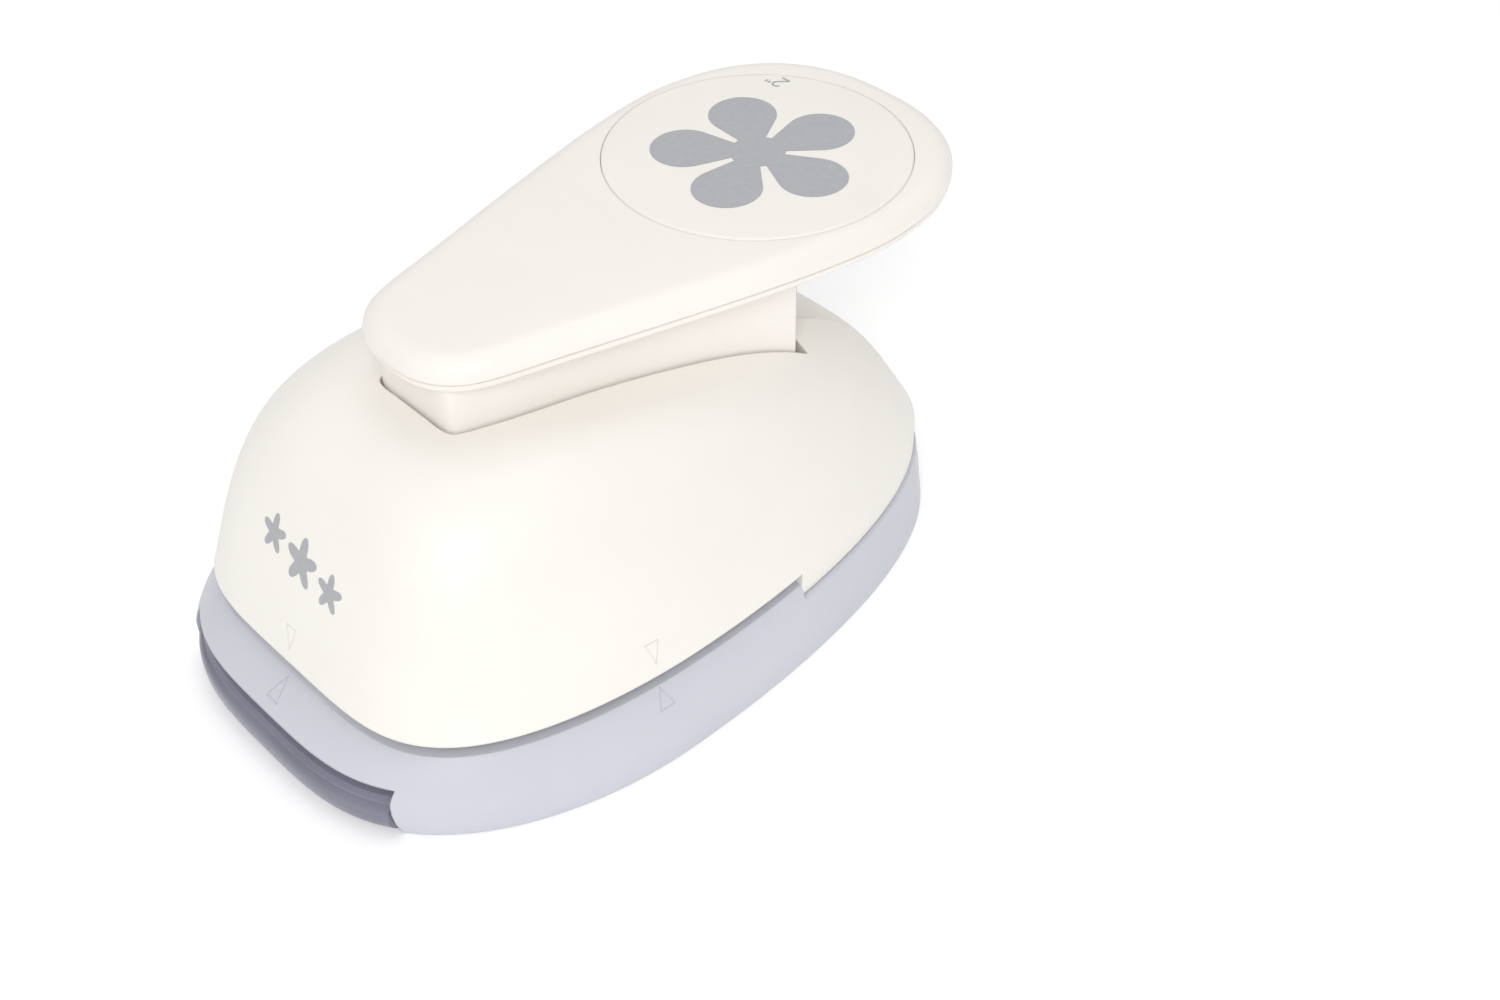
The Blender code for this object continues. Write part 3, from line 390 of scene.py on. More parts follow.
def apply_modifiers(obj, smooth=32):
    graph = bpy.context.evaluated_depsgraph_get()
    mesh = bpy.data.meshes.new_from_object(obj.evaluated_get(graph))
    materials = list(obj.data.materials)
    obj.modifiers.clear()
    obj.data = mesh
    if not mesh.materials:
        for mat in materials:
            mesh.materials.append(mat)
    mesh.shade_smooth()
    mesh.set_sharp_from_angle(angle=math.radians(smooth))


def at_height(outline, z):
    return [(x, y, z) for x, y in outline]


def circle(x, y, radius, count=32):
    return [(x + radius * math.cos(2 * math.pi * i / count), y + radius * math.sin(2 * math.pi * i / count))
            for i in range(count)]


def block(bm, x0, x1, y0, y1, z0, z1):
    corners = [(x0, y0), (x1, y0), (x1, y1), (x0, y1)]
    add_loft(bm, [at_height(corners, z0), at_height(corners, z1)])


def turned(bm, x, y, profile, count=32):
    add_loft(bm, [at_height(circle(x, y, r, count), z) for r, z in profile])


def turned_x(bm, y, z, profile, count=32):
    add_loft(bm, [[(x, *point) for point in circle(y, z, r, count)] for r, x in profile])


def egg(half_width, widest_y, front, rear, front_power, rear_power, count=AROUND):
    """Closed outline of two superellipse halves, with points spread evenly round both ends."""
    points = []
    quarter = count // 4
    for i in range(count):
        part = (i % quarter) / quarter
        side_index = i // quarter
        towards_side = side_index in (0, 2)
        warp = part ** 1.7 if towards_side else 1 - (1 - part) ** 1.7
        turn = math.pi / 2 * (side_index + warp)
        side, along = math.sin(turn), math.cos(turn)
        power = front_power if along > 0 else rear_power
        x = math.copysign(half_width * abs(side) ** power, side)
        points.append((x, widest_y - (front if along > 0 else rear) * along))
    return points


def inset(outline, distance):
    result = []
    count = len(outline)
    for i, point in enumerate(outline):
        tangent = (Vector(outline[(i + 1) % count]) - Vector(outline[i - 1])).normalized()
        result.append((point[0] - tangent.y * distance, point[1] + tangent.x * distance))
    return result


def cut_off(outline, y_max):
    kept = []
    for i, (x, y) in enumerate(outline):
        before_x, before_y = outline[i - 1]
        if (y > y_max) != (before_y > y_max):
            part = (y_max - before_y) / (y - before_y)
            kept.append((before_x + (x - before_x) * part, y_max))
        if y <= y_max:
            kept.append((x, y))
    return kept


def curve_through(points, steps):
    """Catmull-Rom curve through points of any dimension."""
    padded = [2 * points[0] - points[1]] + points + [2 * points[-1] - points[-2]]
    result = []
    for i in range(1, len(padded) - 2):
        p0, p1, p2, p3 = padded[i - 1:i + 3]
        for k in range(steps):
            t = k / steps
            result.append(0.5 * (2 * p1 + (p2 - p0) * t + (2 * p0 - 5 * p1 + 4 * p2 - p3) * t ** 2
                                 + (3 * p1 - p0 - 3 * p2 + p3) * t ** 3))
    return result + [points[-1]]


def smooth_half(points, steps=8):
    """Curve through half an outline, mirrored into a closed anticlockwise outline in metres."""
    points = [Vector(p) for p in points]
    mirror = [Vector((-points[1].x, points[1].y))] + points + [Vector((-points[-2].x, points[-2].y))]
    dense = curve_through(mirror, steps)[steps:-steps]
    right = [(p.x * MM, p.y * MM) for p in dense]
    right[0] = (0.0, right[0][1])
    right[-1] = (0.0, right[-1][1])
    left = [(-x, y) for x, y in reversed(right[1:-1])]
    return right + left


def show(obj, body, slot, *nodes):
    """Tie a finished piece to its body and hide the CAD nodes that it stands for; the slot argument is not
    used.
    """
    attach(obj, body)
    if nodes:
        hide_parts(*nodes)
    return obj


# ---------------------------------------------------------------- base

BASE_OUTLINE = egg(*BASE_EGG)
SWOLLEN_OUTLINE = egg(*SWOLLEN_EGG)
COVER_OUTLINE = egg(*COVER_EGG)


def base_ring(z, swell, front_blend, rear_blend):
    """Ring of the wall: swell widens the foot, and the blends draw it in towards the cover's edge."""
    ring = []
    front_blend, rear_blend = max(front_blend, 0), max(rear_blend, 0)
    for foot, wide, edge in zip(BASE_OUTLINE, SWOLLEN_OUTLINE, inset(COVER_OUTLINE, 0.4 * MM)):
        x = foot[0] + (wide[0] - foot[0]) * swell
        y = foot[1]
        rear = min(max((y - 5 * MM) / (25 * MM), 0), 1)
        blend = front_blend + (rear_blend - front_blend) * rear
        ring.append((x + (edge[0] - x) * blend, y + (edge[1] - y) * blend, z))
    return ring


def make_base():
    levels = curve_through([Vector(level) for level in BASE_LEVELS[3:]], 4)
    wall = list(BASE_LEVELS[:3]) + [tuple(level) for level in levels]
    cavity = [(x, min(y, CAVITY_REAR_Y)) for x, y in inset(BASE_OUTLINE, WALL)]
    rings = [at_height(inset(cavity, 0.5 * MM), CAVITY_TOP), at_height(cavity, 9 * MM), at_height(cavity, 0)]
    rings += [base_ring(z * MM, swell, front, rear) for z, swell, front, rear in wall]
    base = loft("base_shell", rings, MATERIALS["base"])

    bm = bmesh.new()
    for x in (LUG_X, -LUG_X):
        block(bm, x - LUG_WIDTH / 2, x + LUG_WIDTH / 2, TRAY_HINGE.y - 2.6 * MM, TRAY_HINGE.y + 2.3 * MM,
              1 * MM, CAVITY_TOP + 1 * MM)
    for x in (BOSS_X, -BOSS_X):
        turned(bm, x, BOSS_Y, [(BOSS_RADIUS, 1 * MM), (BOSS_RADIUS, CAVITY_TOP + 1 * MM)])
    cut(base, "UNION", bm)

    seat = (DIE_HIGH.x - DIE_LOW.x) / 2 + GAP
    bm = bmesh.new()
    block(bm, -FAR, FAR, SLOT_STOP_Y, FAR, REAR_SEAT, FAR)
    block(bm, -RECESS_HALF_WIDTH, RECESS_HALF_WIDTH, -FAR, RECESS_REAR_Y, -1 * MM, RECESS_TOP)
    cut(base, "DIFFERENCE", bm)
    bm = bmesh.new()
    block(bm, -seat, seat, DIE_Y - seat, DIE_Y + seat, DIE_LOW.z - GAP, FAR)
    cut(base, "DIFFERENCE", bm)

    bm = bmesh.new()
    turned(bm, 0, DIE_Y, [(CHIP_HOLE_RADIUS, 5 * MM), (CHIP_HOLE_RADIUS, 14 * MM)], 96)
    for x, y in screw_places():
        turned(bm, x, y, [(3.0 * MM, -1 * MM), (3.0 * MM, 4 * MM), (1.8 * MM, 4 * MM), (1.8 * MM, 20 * MM)])
    for x, y in ((25 * MM, 17 * MM), (9.3 * MM, 38.5 * MM)):
        for side in (1, -1):
            turned(bm, side * x, y, [(1.5 * MM, 9 * MM), (1.5 * MM, 20 * MM)], 24)
    turned_x(bm, TRAY_HINGE.y, TRAY_HINGE.z, [(1.5 * MM, -24 * MM), (1.5 * MM, 24 * MM)])
    cut(base, "DIFFERENCE", bm)
    return show(base, "housing", "base_plastic", "base_housing")


def screw_places():
    places = []
    for index in range(1, 5):
        low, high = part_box(f"housing_screw_{index}")
        places.append(((low.x + high.x) / 2, (low.y + high.y) / 2))
    return places


# ---------------------------------------------------------------- cover

def dome_point(edge, reach, drop=0.0):
    y = DOME_CENTRE_Y + (edge[1] - DOME_CENTRE_Y) * reach
    rise = DOME_RISE + DOME_SLOPE * (y - DOME_CENTRE_Y)
    height = rise * max(1 - reach ** DOME_FLATNESS, 0) ** DOME_SHOULDER
    return (edge[0] * reach, y, SLOT_TOP + height - drop)


def dome_height(x, y):
    centre = Vector((0, DOME_CENTRE_Y))
    target = Vector((x, y)) - centre
    far = centre + target.normalized() * 0.2
    for i in range(0, AROUND, 4):
        hit = intersect_line_line_2d(centre, far, COVER_OUTLINE[i - 4], COVER_OUTLINE[i])
        if hit:
            return dome_point(tuple(hit), target.length / (hit - centre).length)[2]
    return SLOT_TOP


def trough_depth(y):
    return TROUGH_DEPTH * (1 - max(0, (y - TROUGH_FADE_Y) / (TROUGH_END_Y - TROUGH_FADE_Y)) ** 2)


def add_draped_slab(bm, half_width, y0, y1, low, high, columns=24, rows=36):
    rings = []
    for j in range(rows + 1):
        y = y0 + (y1 - y0) * j / rows
        across = [half_width * (2 * i / columns - 1) for i in range(columns + 1)]
        ring = [(x, y, dome_height(x, y) + low(x, y)) for x in across]
        ring += [(x, y, dome_height(x, y) + high(x, y)) for x in reversed(across)]
        rings.append(ring)
    add_loft(bm, rings)


def make_cover():
    outer = COVER_OUTLINE
    inner = inset(outer, COVER_WALL)
    reaches = [1 - 0.986 * (k / 40) ** 1.55 for k in range(41)]
    down = [[dome_point(edge, reach, COVER_WALL) for edge in inner] for reach in reversed(reaches[::3])]
    up = [[dome_point(edge, reach) for edge in outer] for reach in reaches]
    rings = down + [at_height(inner, COVER_LOW.z), at_height(outer, COVER_LOW.z)] + up
    cover = loft("cover_shell", rings, MATERIALS["cover"])

    bm = bmesh.new()
    for x, y in screw_places():
        top = 27 * MM if abs(x) > 30 * MM else 20.5 * MM
        turned(bm, x, y, [(3.1 * MM, COVER_LOW.z), (3.1 * MM, top)])
        if abs(x) > 30 * MM:
            near, far_x = sorted((x, x + math.copysign(5 * MM, x)))
            block(bm, near, far_x, y - 0.8 * MM, y + 0.8 * MM, 20 * MM, 24.5 * MM)
        else:
            block(bm, x - 0.8 * MM, x + 0.8 * MM, y, y + 4.6 * MM, 14 * MM, 20 * MM)
    cut(cover, "UNION", bm)

    start, end = SKIRT_REAR_Y, TROUGH_END_Y + 2 * MM
    bm = bmesh.new()
    add_draped_slab(bm, TROUGH_HALF_WIDTH + 2 * MM, start, end,
                    lambda x, y: -max(trough_depth(y), 0) - TROUGH_FLOOR, lambda x, y: -0.6 * MM)
    cut(cover, "UNION", bm)

    bm = bmesh.new()
    block(bm, -FAR, FAR, -FAR, SLOT_STOP_Y, 0, SLOT_TOP)
    for x, y in screw_places():
        turned(bm, x, y, [(1.3 * MM, 5 * MM), (1.3 * MM, 19.4 * MM)], 24)
    cut(cover, "DIFFERENCE", bm)

    bm = bmesh.new()
    opening = cut_off(inset(SKIRT_OUTLINE, -OPENING_CLEARANCE), SKIRT_REAR_Y + 2 * MM)
    add_loft(bm, [at_height(opening, 25 * MM), at_height(opening, FAR)])
    cut(cover, "DIFFERENCE", bm)

    bm = bmesh.new()
    add_draped_slab(bm, TROUGH_HALF_WIDTH, start - 1 * MM, end, trough_bottom, lambda x, y: 8 * MM)
    cut(cover, "DIFFERENCE", bm)
    return show(cover, "housing", "cream_plastic", "top_cover")


def trough_bottom(x, y):
    """Floor of the recess, with a small radius along its two walls."""
    radius = 1.2 * MM
    inside = max(abs(x) - (TROUGH_HALF_WIDTH - radius), 0) / radius
    return -trough_depth(y) + radius * (1 - math.sqrt(max(1 - inside ** 2, 0)))


# ---------------------------------------------------------------- lever

LEVER_OUTLINE = smooth_half(LEVER_HALF_OUTLINE)
SKIRT_OUTLINE = smooth_half(SKIRT_HALF_OUTLINE, 6)


def on_lever(outline, height):
    return [(x, y, LEVER_RIM_Z + LEVER_PITCH * y + height) for x, y in outline]


def tilt_about_disc(bm, height):
    """Lay upright geometry that starts at z = 0 at a height above the lever's tilted flat top."""
    top = LEVER_RIM_Z + LEVER_PITCH * DISC_Y + RIM_THICKNESS + GAP + SHELL_TOP
    tilt = Matrix.Rotation(math.atan(LEVER_PITCH), 4, "X")
    centre = Vector((0, DISC_Y, 0))
    place = Matrix.Translation(centre + Vector((0, 0, top + height))) @ tilt @ Matrix.Translation(-centre)
    bmesh.ops.transform(bm, matrix=place, verts=bm.verts)


def make_lever_top():
    parting = RIM_THICKNESS + GAP
    wall = inset(LEVER_OUTLINE, SHELL_WALL)
    rings = [on_lever(inset(wall, 1.2 * MM), parting + SHELL_WALL), on_lever(wall, parting),
             on_lever(inset(LEVER_OUTLINE, 0.25 * MM), parting), on_lever(LEVER_OUTLINE, parting + 0.25 * MM)]
    low = 0.9 * MM
    steps = 12
    for k in range(steps + 1):
        turn = math.pi / 2 * k / steps
        depth = SHELL_ROUND * (1 - math.cos(turn) ** 0.9)
        height = low + (SHELL_TOP - low) * math.sin(turn) ** 0.9
        rings.append(on_lever(inset(LEVER_OUTLINE, depth), parting + height))
    lever = loft("lever_top", rings, MATERIALS["lever"], 40)
    bm = bmesh.new()
    turned(bm, 0, DISC_Y, [(DISC_RADIUS + 0.08 * MM, 0), (DISC_RADIUS + 0.08 * MM, 20 * MM)], 160)
    tilt_about_disc(bm, -0.8 * MM)
    cut(lever, "DIFFERENCE", bm)
    return show(lever, "lever", "cream_plastic", "lever_top_shell")


def make_lever_bottom():
    outline = inset(LEVER_OUTLINE, 0.45 * MM)
    rings = [on_lever(inset(outline, 0.5 * MM), 0), on_lever(inset(outline, 0.15 * MM), 0.12 * MM),
             on_lever(outline, 0.5 * MM), on_lever(outline, RIM_THICKNESS - 0.15 * MM),
             on_lever(inset(outline, 0.15 * MM), RIM_THICKNESS)]
    lever = loft("lever_bottom", rings, MATERIALS["lever"])
    bm = bmesh.new()
    cheeks = cut_off(SKIRT_OUTLINE, SKIRT_REAR_Y)
    add_loft(bm, [at_height(cheeks, SKIRT_BOTTOM), on_lever(cheeks, 0.6 * MM)])
    cut(lever, "UNION", bm)
    bm = bmesh.new()
    inside = cut_off(inset(SKIRT_OUTLINE, SKIRT_WALL), SKIRT_REAR_Y + 9 * MM)
    add_loft(bm, [at_height(inside, SKIRT_BOTTOM - 5 * MM), on_lever(inside, 0)])
    cut(lever, "DIFFERENCE", bm)

    bm = bmesh.new()
    for side in (1, -1):
        inner, outer = sorted((side * RIB_X[0] * MM, side * RIB_X[1] * MM))
        add_loft(bm, [[(x, y * MM, z * MM) for y, z in RIB_PROFILE] for x in (inner, outer)])
    nose, radius, press_y = NOSE_HALF, NOSE_RADIUS, NOSE_Y
    nose_z = HEAD_HIGH.z + GAP + radius
    block(bm, -nose, nose, press_y - nose, press_y + nose, nose_z, LEVER_RIM_Z + 0.4 * MM)
    cut(lever, "UNION", bm)
    bm = bmesh.new()
    turned_x(bm, press_y, nose_z, [(radius, -nose), (radius, nose)], 48)
    cut(lever, "UNION", bm)
    bm = bmesh.new()
    turned_x(bm, PIVOT.y, PIVOT.z, [(2.3 * MM, -9 * MM), (2.3 * MM, 9 * MM)])
    cut(lever, "DIFFERENCE", bm)
    return show(lever, "lever", "cream_plastic", "lever_lower_shell")


def flower(scale, arc_steps=24):
    """Five-petalled outline about the origin."""
    radius, slit, root = PETAL_RADIUS, SLIT_HALF_WIDTH, SLIT_ROOT
    half_turn = math.pi / PETALS
    start = Vector((root * math.cos(half_turn) + slit * math.sin(half_turn),
                    root * math.sin(half_turn) - slit * math.cos(half_turn)))
    to_centre = Vector((PETAL_DISTANCE, 0)) - start
    reach = to_centre.length
    heading = math.atan2(to_centre.y, to_centre.x) + math.asin(radius / reach)
    touch = start + Vector((math.cos(heading), math.sin(heading))) * math.sqrt(reach ** 2 - radius ** 2)
    first = math.atan2(touch.y, touch.x - PETAL_DISTANCE)
    petal = [Vector((start.x, -start.y))]
    for i in range(arc_steps * 2 + 1):
        angle = -first + 2 * first * i / (arc_steps * 2)
        petal.append(Vector((PETAL_DISTANCE + radius * math.cos(angle), radius * math.sin(angle))))
    petal.append(start)
    outline = []
    for k in range(PETALS):
        spin = Matrix.Rotation(FLOWER_TURN + 2 * math.pi * k / PETALS, 2)
        outline += [tuple(spin @ p * scale) for p in petal]
    return outline


def make_disc():
    bm = bmesh.new()
    turned(bm, 0, DISC_Y, [(DISC_RADIUS, 0), (DISC_RADIUS, 0.44 * MM), (DISC_RADIUS - 0.06 * MM, 0.54 * MM),
                           (DISC_RADIUS - 0.2 * MM, 0.62 * MM), (DISC_RADIUS - 0.45 * MM, 0.68 * MM),
                           (DISC_RADIUS - 0.8 * MM, 0.7 * MM)], 160)
    tilt_about_disc(bm, -0.5 * MM)
    disc = make_object(bm, "disc", MATERIALS["disc"])
    return show(disc, "lever", "disc_plastic", "pattern_disc")


def make_flower_print():
    bm = bmesh.new()
    outline = [(x, y + DISC_Y) for x, y in flower(PATTERN_SCALE)]
    add_loft(bm, [at_height(outline, 0), at_height(outline, 0.06 * MM)])
    tilt_about_disc(bm, 0.22 * MM)
    ink = make_object(bm, "flower_print", MATERIALS["print"])
    return show(ink, "lever", "print_grey", "flower_inlay")


# ---------------------------------------------------------------- tray

def front_y(outline, x):
    """The y at which the front of an outline has this x."""
    for (x0, y0), (x1, y1) in zip(outline, outline[1:]):
        if x0 <= x < x1:
            return y0 + (y1 - y0) * (x - x0) / (x1 - x0)


def tray_outline(front_setback):
    """Inner outline of the base that steps out through the opening in the nose."""
    wide = inset(SWOLLEN_OUTLINE, front_setback)
    narrow = inset(BASE_OUTLINE, TRAY_SIDE_GAP)
    half = RECESS_HALF_WIDTH - TRAY_END_GAP
    nose = [point for point, place in zip(wide, SWOLLEN_OUTLINE)
            if abs(place[0]) < half - 1.5 * MM and place[1] < 0]
    body = [(x, min(y, TRAY_REAR_Y)) for x, y in narrow if abs(x) > half + 0.5 * MM or y > 0]
    step = [(half, front_y(wide, half)), (half, front_y(narrow, half))]
    right = [point for point in nose if point[0] > -1e-9]
    left = [point for point in nose if point[0] <= -1e-9]
    return right + step + body + [(-x, y) for x, y in reversed(step)] + left


def make_tray():
    bottom, top = TRAY_LOW.z, TRAY_HIGH.z
    rings = [at_height(tray_outline(depth * MM), bottom + height * MM) for depth, height in TRAY_FACE]
    lip = tray_outline(3.5 * MM)
    inner = inset(lip, 1.3 * MM)
    rings += [at_height(lip, top), at_height(inner, top), at_height(inner, bottom + 1.4 * MM)]
    tray = loft("tray", rings, MATERIALS["tray"])
    knuckle = LUG_X - LUG_WIDTH / 2 - 0.5 * MM
    bm = bmesh.new()
    block(bm, -knuckle + 1 * MM, knuckle - 1 * MM, TRAY_REAR_Y - 0.8 * MM, TRAY_HINGE.y,
          TRAY_HINGE.z - TONGUE_THICKNESS / 2, TRAY_HINGE.z + TONGUE_THICKNESS / 2)
    cut(tray, "UNION", bm)
    bm = bmesh.new()
    turned_x(bm, TRAY_HINGE.y, TRAY_HINGE.z, [(2.5 * MM, -knuckle), (2.5 * MM, knuckle)])
    cut(tray, "UNION", bm)
    bm = bmesh.new()
    turned_x(bm, TRAY_HINGE.y, TRAY_HINGE.z, [(1.5 * MM, -30 * MM), (1.5 * MM, 30 * MM)])
    for side in (1, -1):
        boss, room = side * BOSS_X, 4.6 * MM
        block(bm, boss - room, boss + room, BOSS_Y - 5 * MM, BOSS_Y + 5 * MM, -5 * MM, 20 * MM)
    cut(tray, "DIFFERENCE", bm)
    return show(tray, "tray", "smoky_plastic", "chip_tray")


# ---------------------------------------------------------------- small parts

def make_spring(index):
    """Round-wire compression spring between the guide plate and the punch head, built as a fixed coil that
    fills the CAD spring's box.
    """
    low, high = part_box(f"return_spring_{index}")
    wire = 0.45 * MM
    turns, per_turn, sides = 4.5, 24, 8
    radius = (high.x - low.x) / 2 - wire
    centre = Vector(((low.x + high.x) / 2, (low.y + high.y) / 2, 0))
    rings = []
    count = int(turns * per_turn)
    for i in range(count + 1):
        part = i / count
        turn = 2 * math.pi * turns * part
        out = Vector((math.cos(turn), math.sin(turn), 0))
        z = low.z + wire + (high.z - low.z - 2 * wire) * part
        middle = centre + out * radius + Vector((0, 0, z))
        rings.append([middle + (out * math.cos(a) + Vector((0, 0, math.sin(a)))) * wire
                      for a in (2 * math.pi * k / sides for k in range(sides))])
    spring = loft(f"spring_{index}", rings, MATERIALS["wire"], 50)
    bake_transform(spring)
    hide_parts(f"return_spring_{index}")


def cross_recess(bm, x, y, z0, z1, turn):
    """Cutter for a cross recess, z0 at the narrow bottom and z1 at the mouth."""
    for k in range(2):
        spin = Matrix.Rotation(turn + math.pi / 2 * k, 2)
        rings = []
        for z, length, width in ((z0, 0.75 * MM, 0.22 * MM), (z1, 1.5 * MM, 0.42 * MM)):
            corners = [(-length, -width), (length, -width), (length, width), (-length, width)]
            rings.append([(x + (spin @ Vector(c)).x, y + (spin @ Vector(c)).y, z) for c in corners])
        add_loft(bm, rings)


def make_housing_screw(index):
    low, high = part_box(f"housing_screw_{index}")
    x, y = (low.x + high.x) / 2, (low.y + high.y) / 2
    head, shank = 2.6 * MM, 1.0 * MM
    bottom, seat = low.z, low.z + 2.1 * MM
    profile = [(head - 0.5 * MM, bottom), (head - 0.15 * MM, bottom + 0.15 * MM), (head, bottom + 0.5 * MM),
               (head, seat), (shank, seat)]
    profile += thread_profile(shank, seat + 0.6 * MM, high.z - 0.9 * MM)
    profile += [(0.4 * MM, high.z)]
    bm = bmesh.new()
    turned(bm, x, y, profile, 28)
    screw = make_object(bm, f"housing_screw_{index}_detail", MATERIALS["dark"])
    bm = bmesh.new()
    cross_recess(bm, x, y, bottom + 1.2 * MM, bottom - 0.3 * MM, 0.4 * index)
    cut(screw, "DIFFERENCE", bm)
    show(screw, "housing", "dark_steel", f"housing_screw_{index}")


def thread_profile(radius, low, high, pitch=0.9 * MM):
    """Ridges of a self-tapping thread, as rings from low to high."""
    count = int((high - low) / pitch)
    points = []
    for k in range(count):
        z = low + (high - low) * k / count
        points += [(radius * 0.78, z), (radius, z + pitch * 0.35)]
    return points + [(radius * 0.78, high)]


def make_pan_screw(name):
    low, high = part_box(name)
    x, y = (low.x + high.x) / 2, (low.y + high.y) / 2
    head, shank = (high.x - low.x) / 2, 1.2 * MM
    seat = high.z - 1.5 * MM
    profile = [(0.5 * MM, low.z)] + thread_profile(shank, low.z + 0.5 * MM, seat - 0.4 * MM)
    profile += [(shank, seat - 0.2 * MM), (shank, seat), (head, seat), (head, seat + 0.6 * MM),
                (head * 0.9, seat + 1.1 * MM), (head * 0.66, seat + 1.4 * MM), (head * 0.3, high.z)]
    bm = bmesh.new()
    turned(bm, x, y, profile, 28)
    screw = make_object(bm, name + "_detail", MATERIALS["dark"])
    bm = bmesh.new()
    cross_recess(bm, x, y, high.z - 1.0 * MM, high.z + 0.3 * MM, 0.3)
    cut(screw, "DIFFERENCE", bm)
    show(screw, "housing", "dark_steel", name)


# ---------------------------------------------------------------- marks

def surface_tree(obj):
    return BVHTree.FromObject(obj, bpy.context.evaluated_depsgraph_get())


def on_surface(tree, point, aim, lift):
    """The place on the surface that is met from outside along aim, moved out by lift."""
    hit, normal, _, _ = tree.ray_cast(Vector(point) - aim * 0.02, aim)
    return hit + normal * lift


def wrapped_strip(bm, tree, ends, widths, aim, lift):
    """A narrow raised line from one end to the other that follows the surface."""
    start, end = (Vector(point) for point in ends)
    across = aim.cross(end - start).normalized() / 2
    sections = []
    for k in range(9):
        part = k / 8
        width = widths[0] + (widths[1] - widths[0]) * part
        middle = start.lerp(end, part)
        sections.append([on_surface(tree, middle + across * width * side, aim, height)
                         for side, height in ((-1, -0.15 * MM), (-0.6, lift), (0.6, lift), (1, -0.15 * MM))])
    add_loft(bm, sections)


def wrapped_patch(bm, tree, outline, aim, lift):
    """A thin printed patch on the surface; the outline is a star shape about its own middle."""
    centre = sum((Vector(point) for point in outline), Vector()) / len(outline)
    scales = (0.04, 0.35, 0.7, 1.0)
    top = [[on_surface(tree, centre.lerp(Vector(point), scale), aim, lift) for point in outline]
           for scale in scales]
    low = [[on_surface(tree, centre.lerp(Vector(point), scale), aim, -0.1 * MM) for point in outline]
           for scale in reversed(scales)]
    add_loft(bm, top + low)


def guide_triangle(bm, tree, apex, left, right, aim, lift):
    """Raised outline of a narrow triangle that shows the middle of the cut."""
    for start, end in ((left, apex), (right, apex), (left, right)):
        wrapped_strip(bm, tree, (start, end), (0.34 * MM, 0.26 * MM), aim, lift)


def make_guide_marks(base, cover):
    on_base, on_cover = surface_tree(base), surface_tree(cover)
    bm = bmesh.new()
    down = Vector((0, 0.35, -1)).normalized()
    guide_triangle(bm, on_base, (0, -67.2 * MM, 15 * MM), (-1.5 * MM, -71.0 * MM, 12 * MM),
                   (1.5 * MM, -71.0 * MM, 12 * MM), down, BASE_MARK_LIFT)
    for side in (1, -1):
        aim = Vector((-side, 0, -1)).normalized()
        foot = side * 46.8 * MM
        guide_triangle(bm, on_base, (side * 44.6 * MM, DIE_Y, 15 * MM), (foot, DIE_Y - 1.5 * MM, 12 * MM),
                       (foot, DIE_Y + 1.5 * MM, 12 * MM), aim, BASE_MARK_LIFT)
    marks = make_object(bm, "base_guide_marks", MATERIALS["base"])
    show(marks, "housing", "base_plastic")

    bm = bmesh.new()
    guide_triangle(bm, on_cover, (0, -66 * MM, 20.2 * MM), (-1.3 * MM, -65 * MM, 24.6 * MM),
                   (1.3 * MM, -65 * MM, 24.6 * MM), Vector((0, 1, 0)), COVER_MARK_LIFT)
    for side in (1, -1):
        x = side * 44 * MM
        guide_triangle(bm, on_cover, (x, DIE_Y, 20.2 * MM), (x, DIE_Y - 1.3 * MM, 24.2 * MM),
                       (x, DIE_Y + 1.3 * MM, 24.2 * MM), Vector((-side, 0, 0)), COVER_MARK_LIFT)
    marks = make_object(bm, "cover_guide_marks", MATERIALS["cover"])
    show(marks, "housing", "cream_plastic")

    bm = bmesh.new()
    for x, z, size in BLOSSOMS:
        blossom = []
        for k in range(90):
            turn = 2 * math.pi * k / 90
            reach = size * (0.72 + 0.28 * math.cos(5 * turn)) * MM
            blossom.append((x * MM + reach * math.sin(turn), -62 * MM, z * MM + reach * math.cos(turn)))
        wrapped_patch(bm, on_cover, blossom, Vector((0, 1, 0)), PRINT_LIFT)
    blossoms = make_object(bm, "cover_print", MATERIALS["print"])
    show(blossoms, "housing", "print_grey")


def ribbon(bm, points, width, thickness):
    """A flat stroke of even width through points in the plane z = 0."""
    sections = []
    count = len(points)
    for i, (x, y) in enumerate(points):
        ahead = Vector(points[min(i + 1, count - 1)]) - Vector(points[max(i - 1, 0)])
        across = Vector((-ahead.y, ahead.x)).normalized() * width / 2
        near, far = Vector((x, y)) - across, Vector((x, y)) + across
        sections.append([(near.x, near.y, 0), (far.x, far.y, 0), (far.x, far.y, thickness),
                         (near.x, near.y, thickness)])
    add_loft(bm, sections)


def make_size_mark():
    """The cut width in inches, printed near the disc's edge so that it reads from the palm end."""
    hook = [(1.05 * math.cos(a), 1.05 * math.sin(a) + 1.1) for a in
            (math.radians(165 - 12 * k) for k in range(18))]
    digit = hook + [(0.2, -0.2), (-0.5, -0.95), (-1.1, -1.6)]
    strokes = [digit, [(-1.3, -1.75), (1.25, -1.75)], [(2.0, 2.2), (2.0, 1.3)], [(2.9, 2.2), (2.9, 1.3)]]
    bm = bmesh.new()
    for stroke in strokes:
        points = [(-14.7 * MM - x * 0.8 * MM, 60.4 * MM - y * 0.8 * MM) for x, y in stroke]
        ribbon(bm, points, 0.42 * MM, 0.2 * MM)
    tilt_about_disc(bm, PRINT_LIFT)
    show(make_object(bm, "size_mark", MATERIALS["print"]), "lever", "print_grey")


# ---------------------------------------------------------------- scene

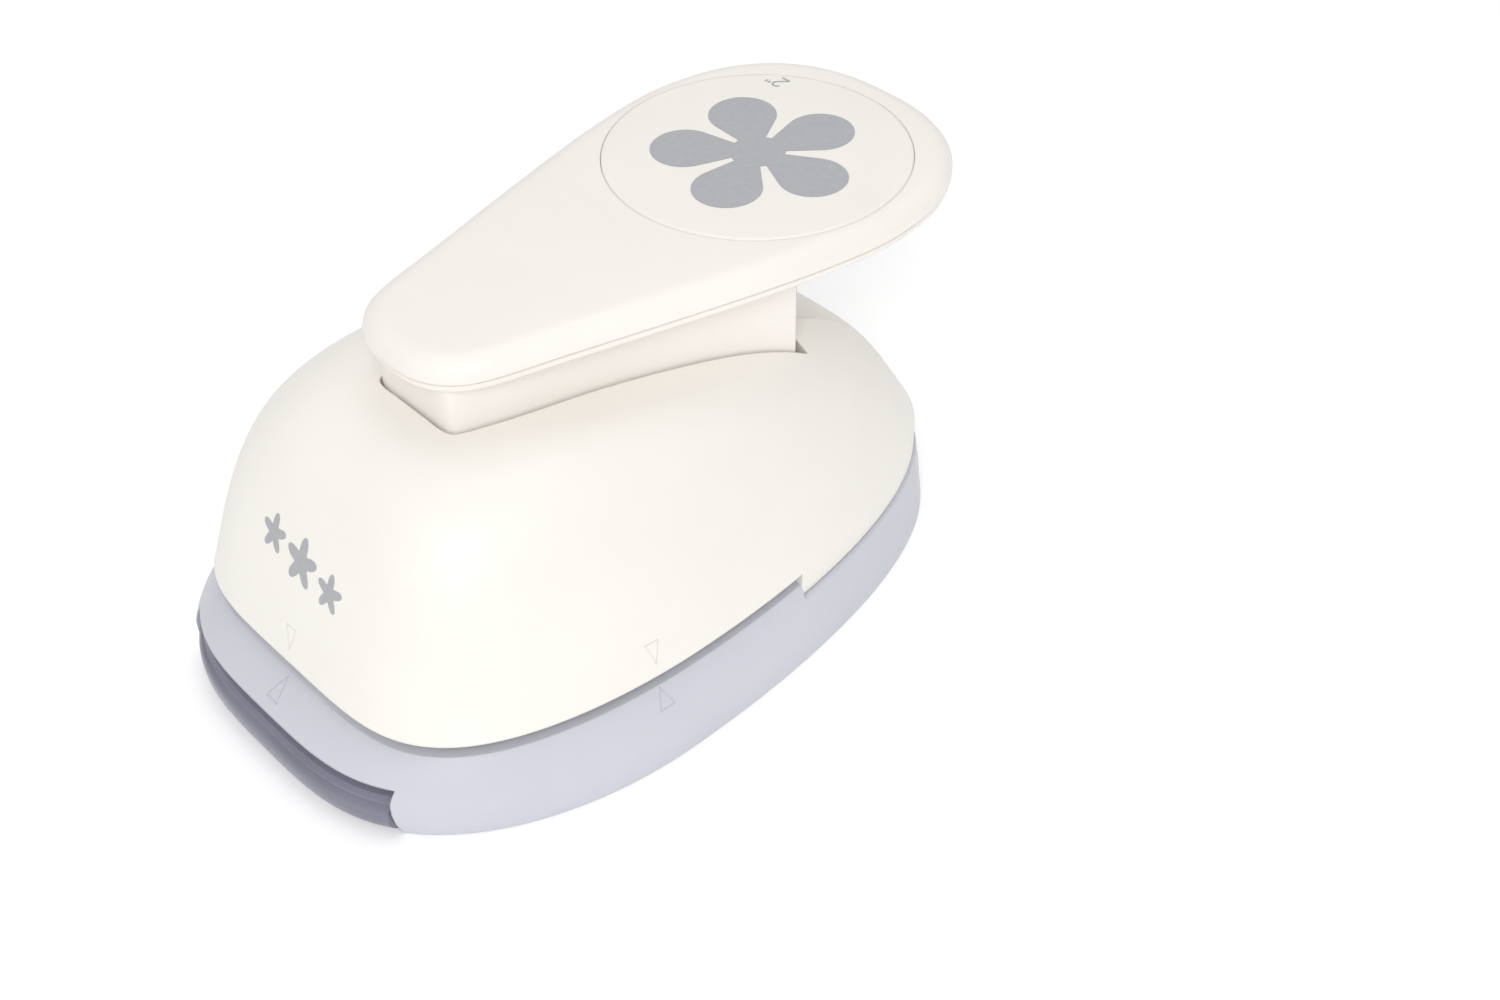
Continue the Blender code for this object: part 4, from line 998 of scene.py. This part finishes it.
def area_light(name, location, target, size, energy):
    data = bpy.data.lights.new(name, "AREA")
    data.shape = "DISK"
    data.size = size
    data.energy = energy
    obj = bpy.data.objects.new(name, data)
    obj.location = location
    obj.rotation_euler = (Vector(target) - Vector(location)).to_track_quat("-Z", "Y").to_euler()
    bpy.context.scene.collection.objects.link(obj)


def make_stage():
    bm = bmesh.new()
    reach, depth = 4.0, -0.0002
    bm.faces.new([bm.verts.new((x, y, depth)) for x, y in ((-reach, -reach), (reach, -reach), (reach, reach),
                                                          (-reach, reach))])
    make_object(bm, "floor", floor_material())

    world = bpy.data.worlds.new("studio")
    bpy.context.scene.world = world
    world.use_nodes = True
    nodes, links = world.node_tree.nodes, world.node_tree.links
    split = nodes.new("ShaderNodeSeparateXYZ")
    links.new(nodes.new("ShaderNodeTexCoord").outputs["Generated"], split.inputs["Vector"])
    sky = remap(nodes, links, split.outputs["Z"], HORIZON_LIGHT, ZENITH_LIGHT, 0.0, 1.0)
    links.new(sky, nodes["Background"].inputs["Strength"])
    nodes["Background"].inputs["Color"].default_value = (1.0, 1.0, 1.0, 1.0)

    middle = (0.0, 0.0, 0.03)
    area_light("key", (0.62, -0.55, 0.75), middle, 0.5, 4.75)
    area_light("overhead", (-0.2, 0.25, 1.0), middle, 0.7, 1.5)
    bpy.context.scene.view_settings.view_transform = "Standard"


def make_camera():
    azimuth, elevation = math.radians(46.65), math.radians(40.66)
    target = Vector((41.36, -0.34, 40.0)) * MM
    back = Vector((math.sin(azimuth) * math.cos(elevation), -math.cos(azimuth) * math.cos(elevation),
                   math.sin(elevation)))
    data = bpy.data.cameras.new("camera")
    data.lens = 47.06
    data.sensor_width = 36.0
    data.clip_start = 0.01
    camera = bpy.data.objects.new("camera", data)
    camera.location = target + back * 322.9 * MM
    camera.rotation_euler = (-back).to_track_quat("-Z", "Y").to_euler()
    bpy.context.scene.collection.objects.link(camera)
    bpy.context.scene.camera = camera


def dress_frame_nodes():
    for node in ("steel_frame", "die_plate", "guide_plate", "plate_spacer_left", "plate_spacer_right",
                 "punch_head", "guide_post_1", "guide_post_2", "guide_post_3", "guide_post_4", "pivot_pin",
                 "tray_hinge_pin"):
        frame["nodes"][node].material_slots[0].material = MATERIALS["steel"]
    for node in ("flower_punch", "pivot_clip_left", "pivot_clip_right"):
        frame["nodes"][node].material_slots[0].material = MATERIALS["dark"]


make_camera()
base = make_base()
cover = make_cover()
make_tray()
make_lever_top()
make_lever_bottom()
make_disc()
make_flower_print()
make_size_mark()
make_guide_marks(base, cover)
for number in range(1, 5):
    make_spring(number)
    make_housing_screw(number)
for screw_name in ("plate_screw_1", "plate_screw_2", "frame_screw_1", "frame_screw_2"):
    make_pan_screw(screw_name)
dress_frame_nodes()
make_stage()
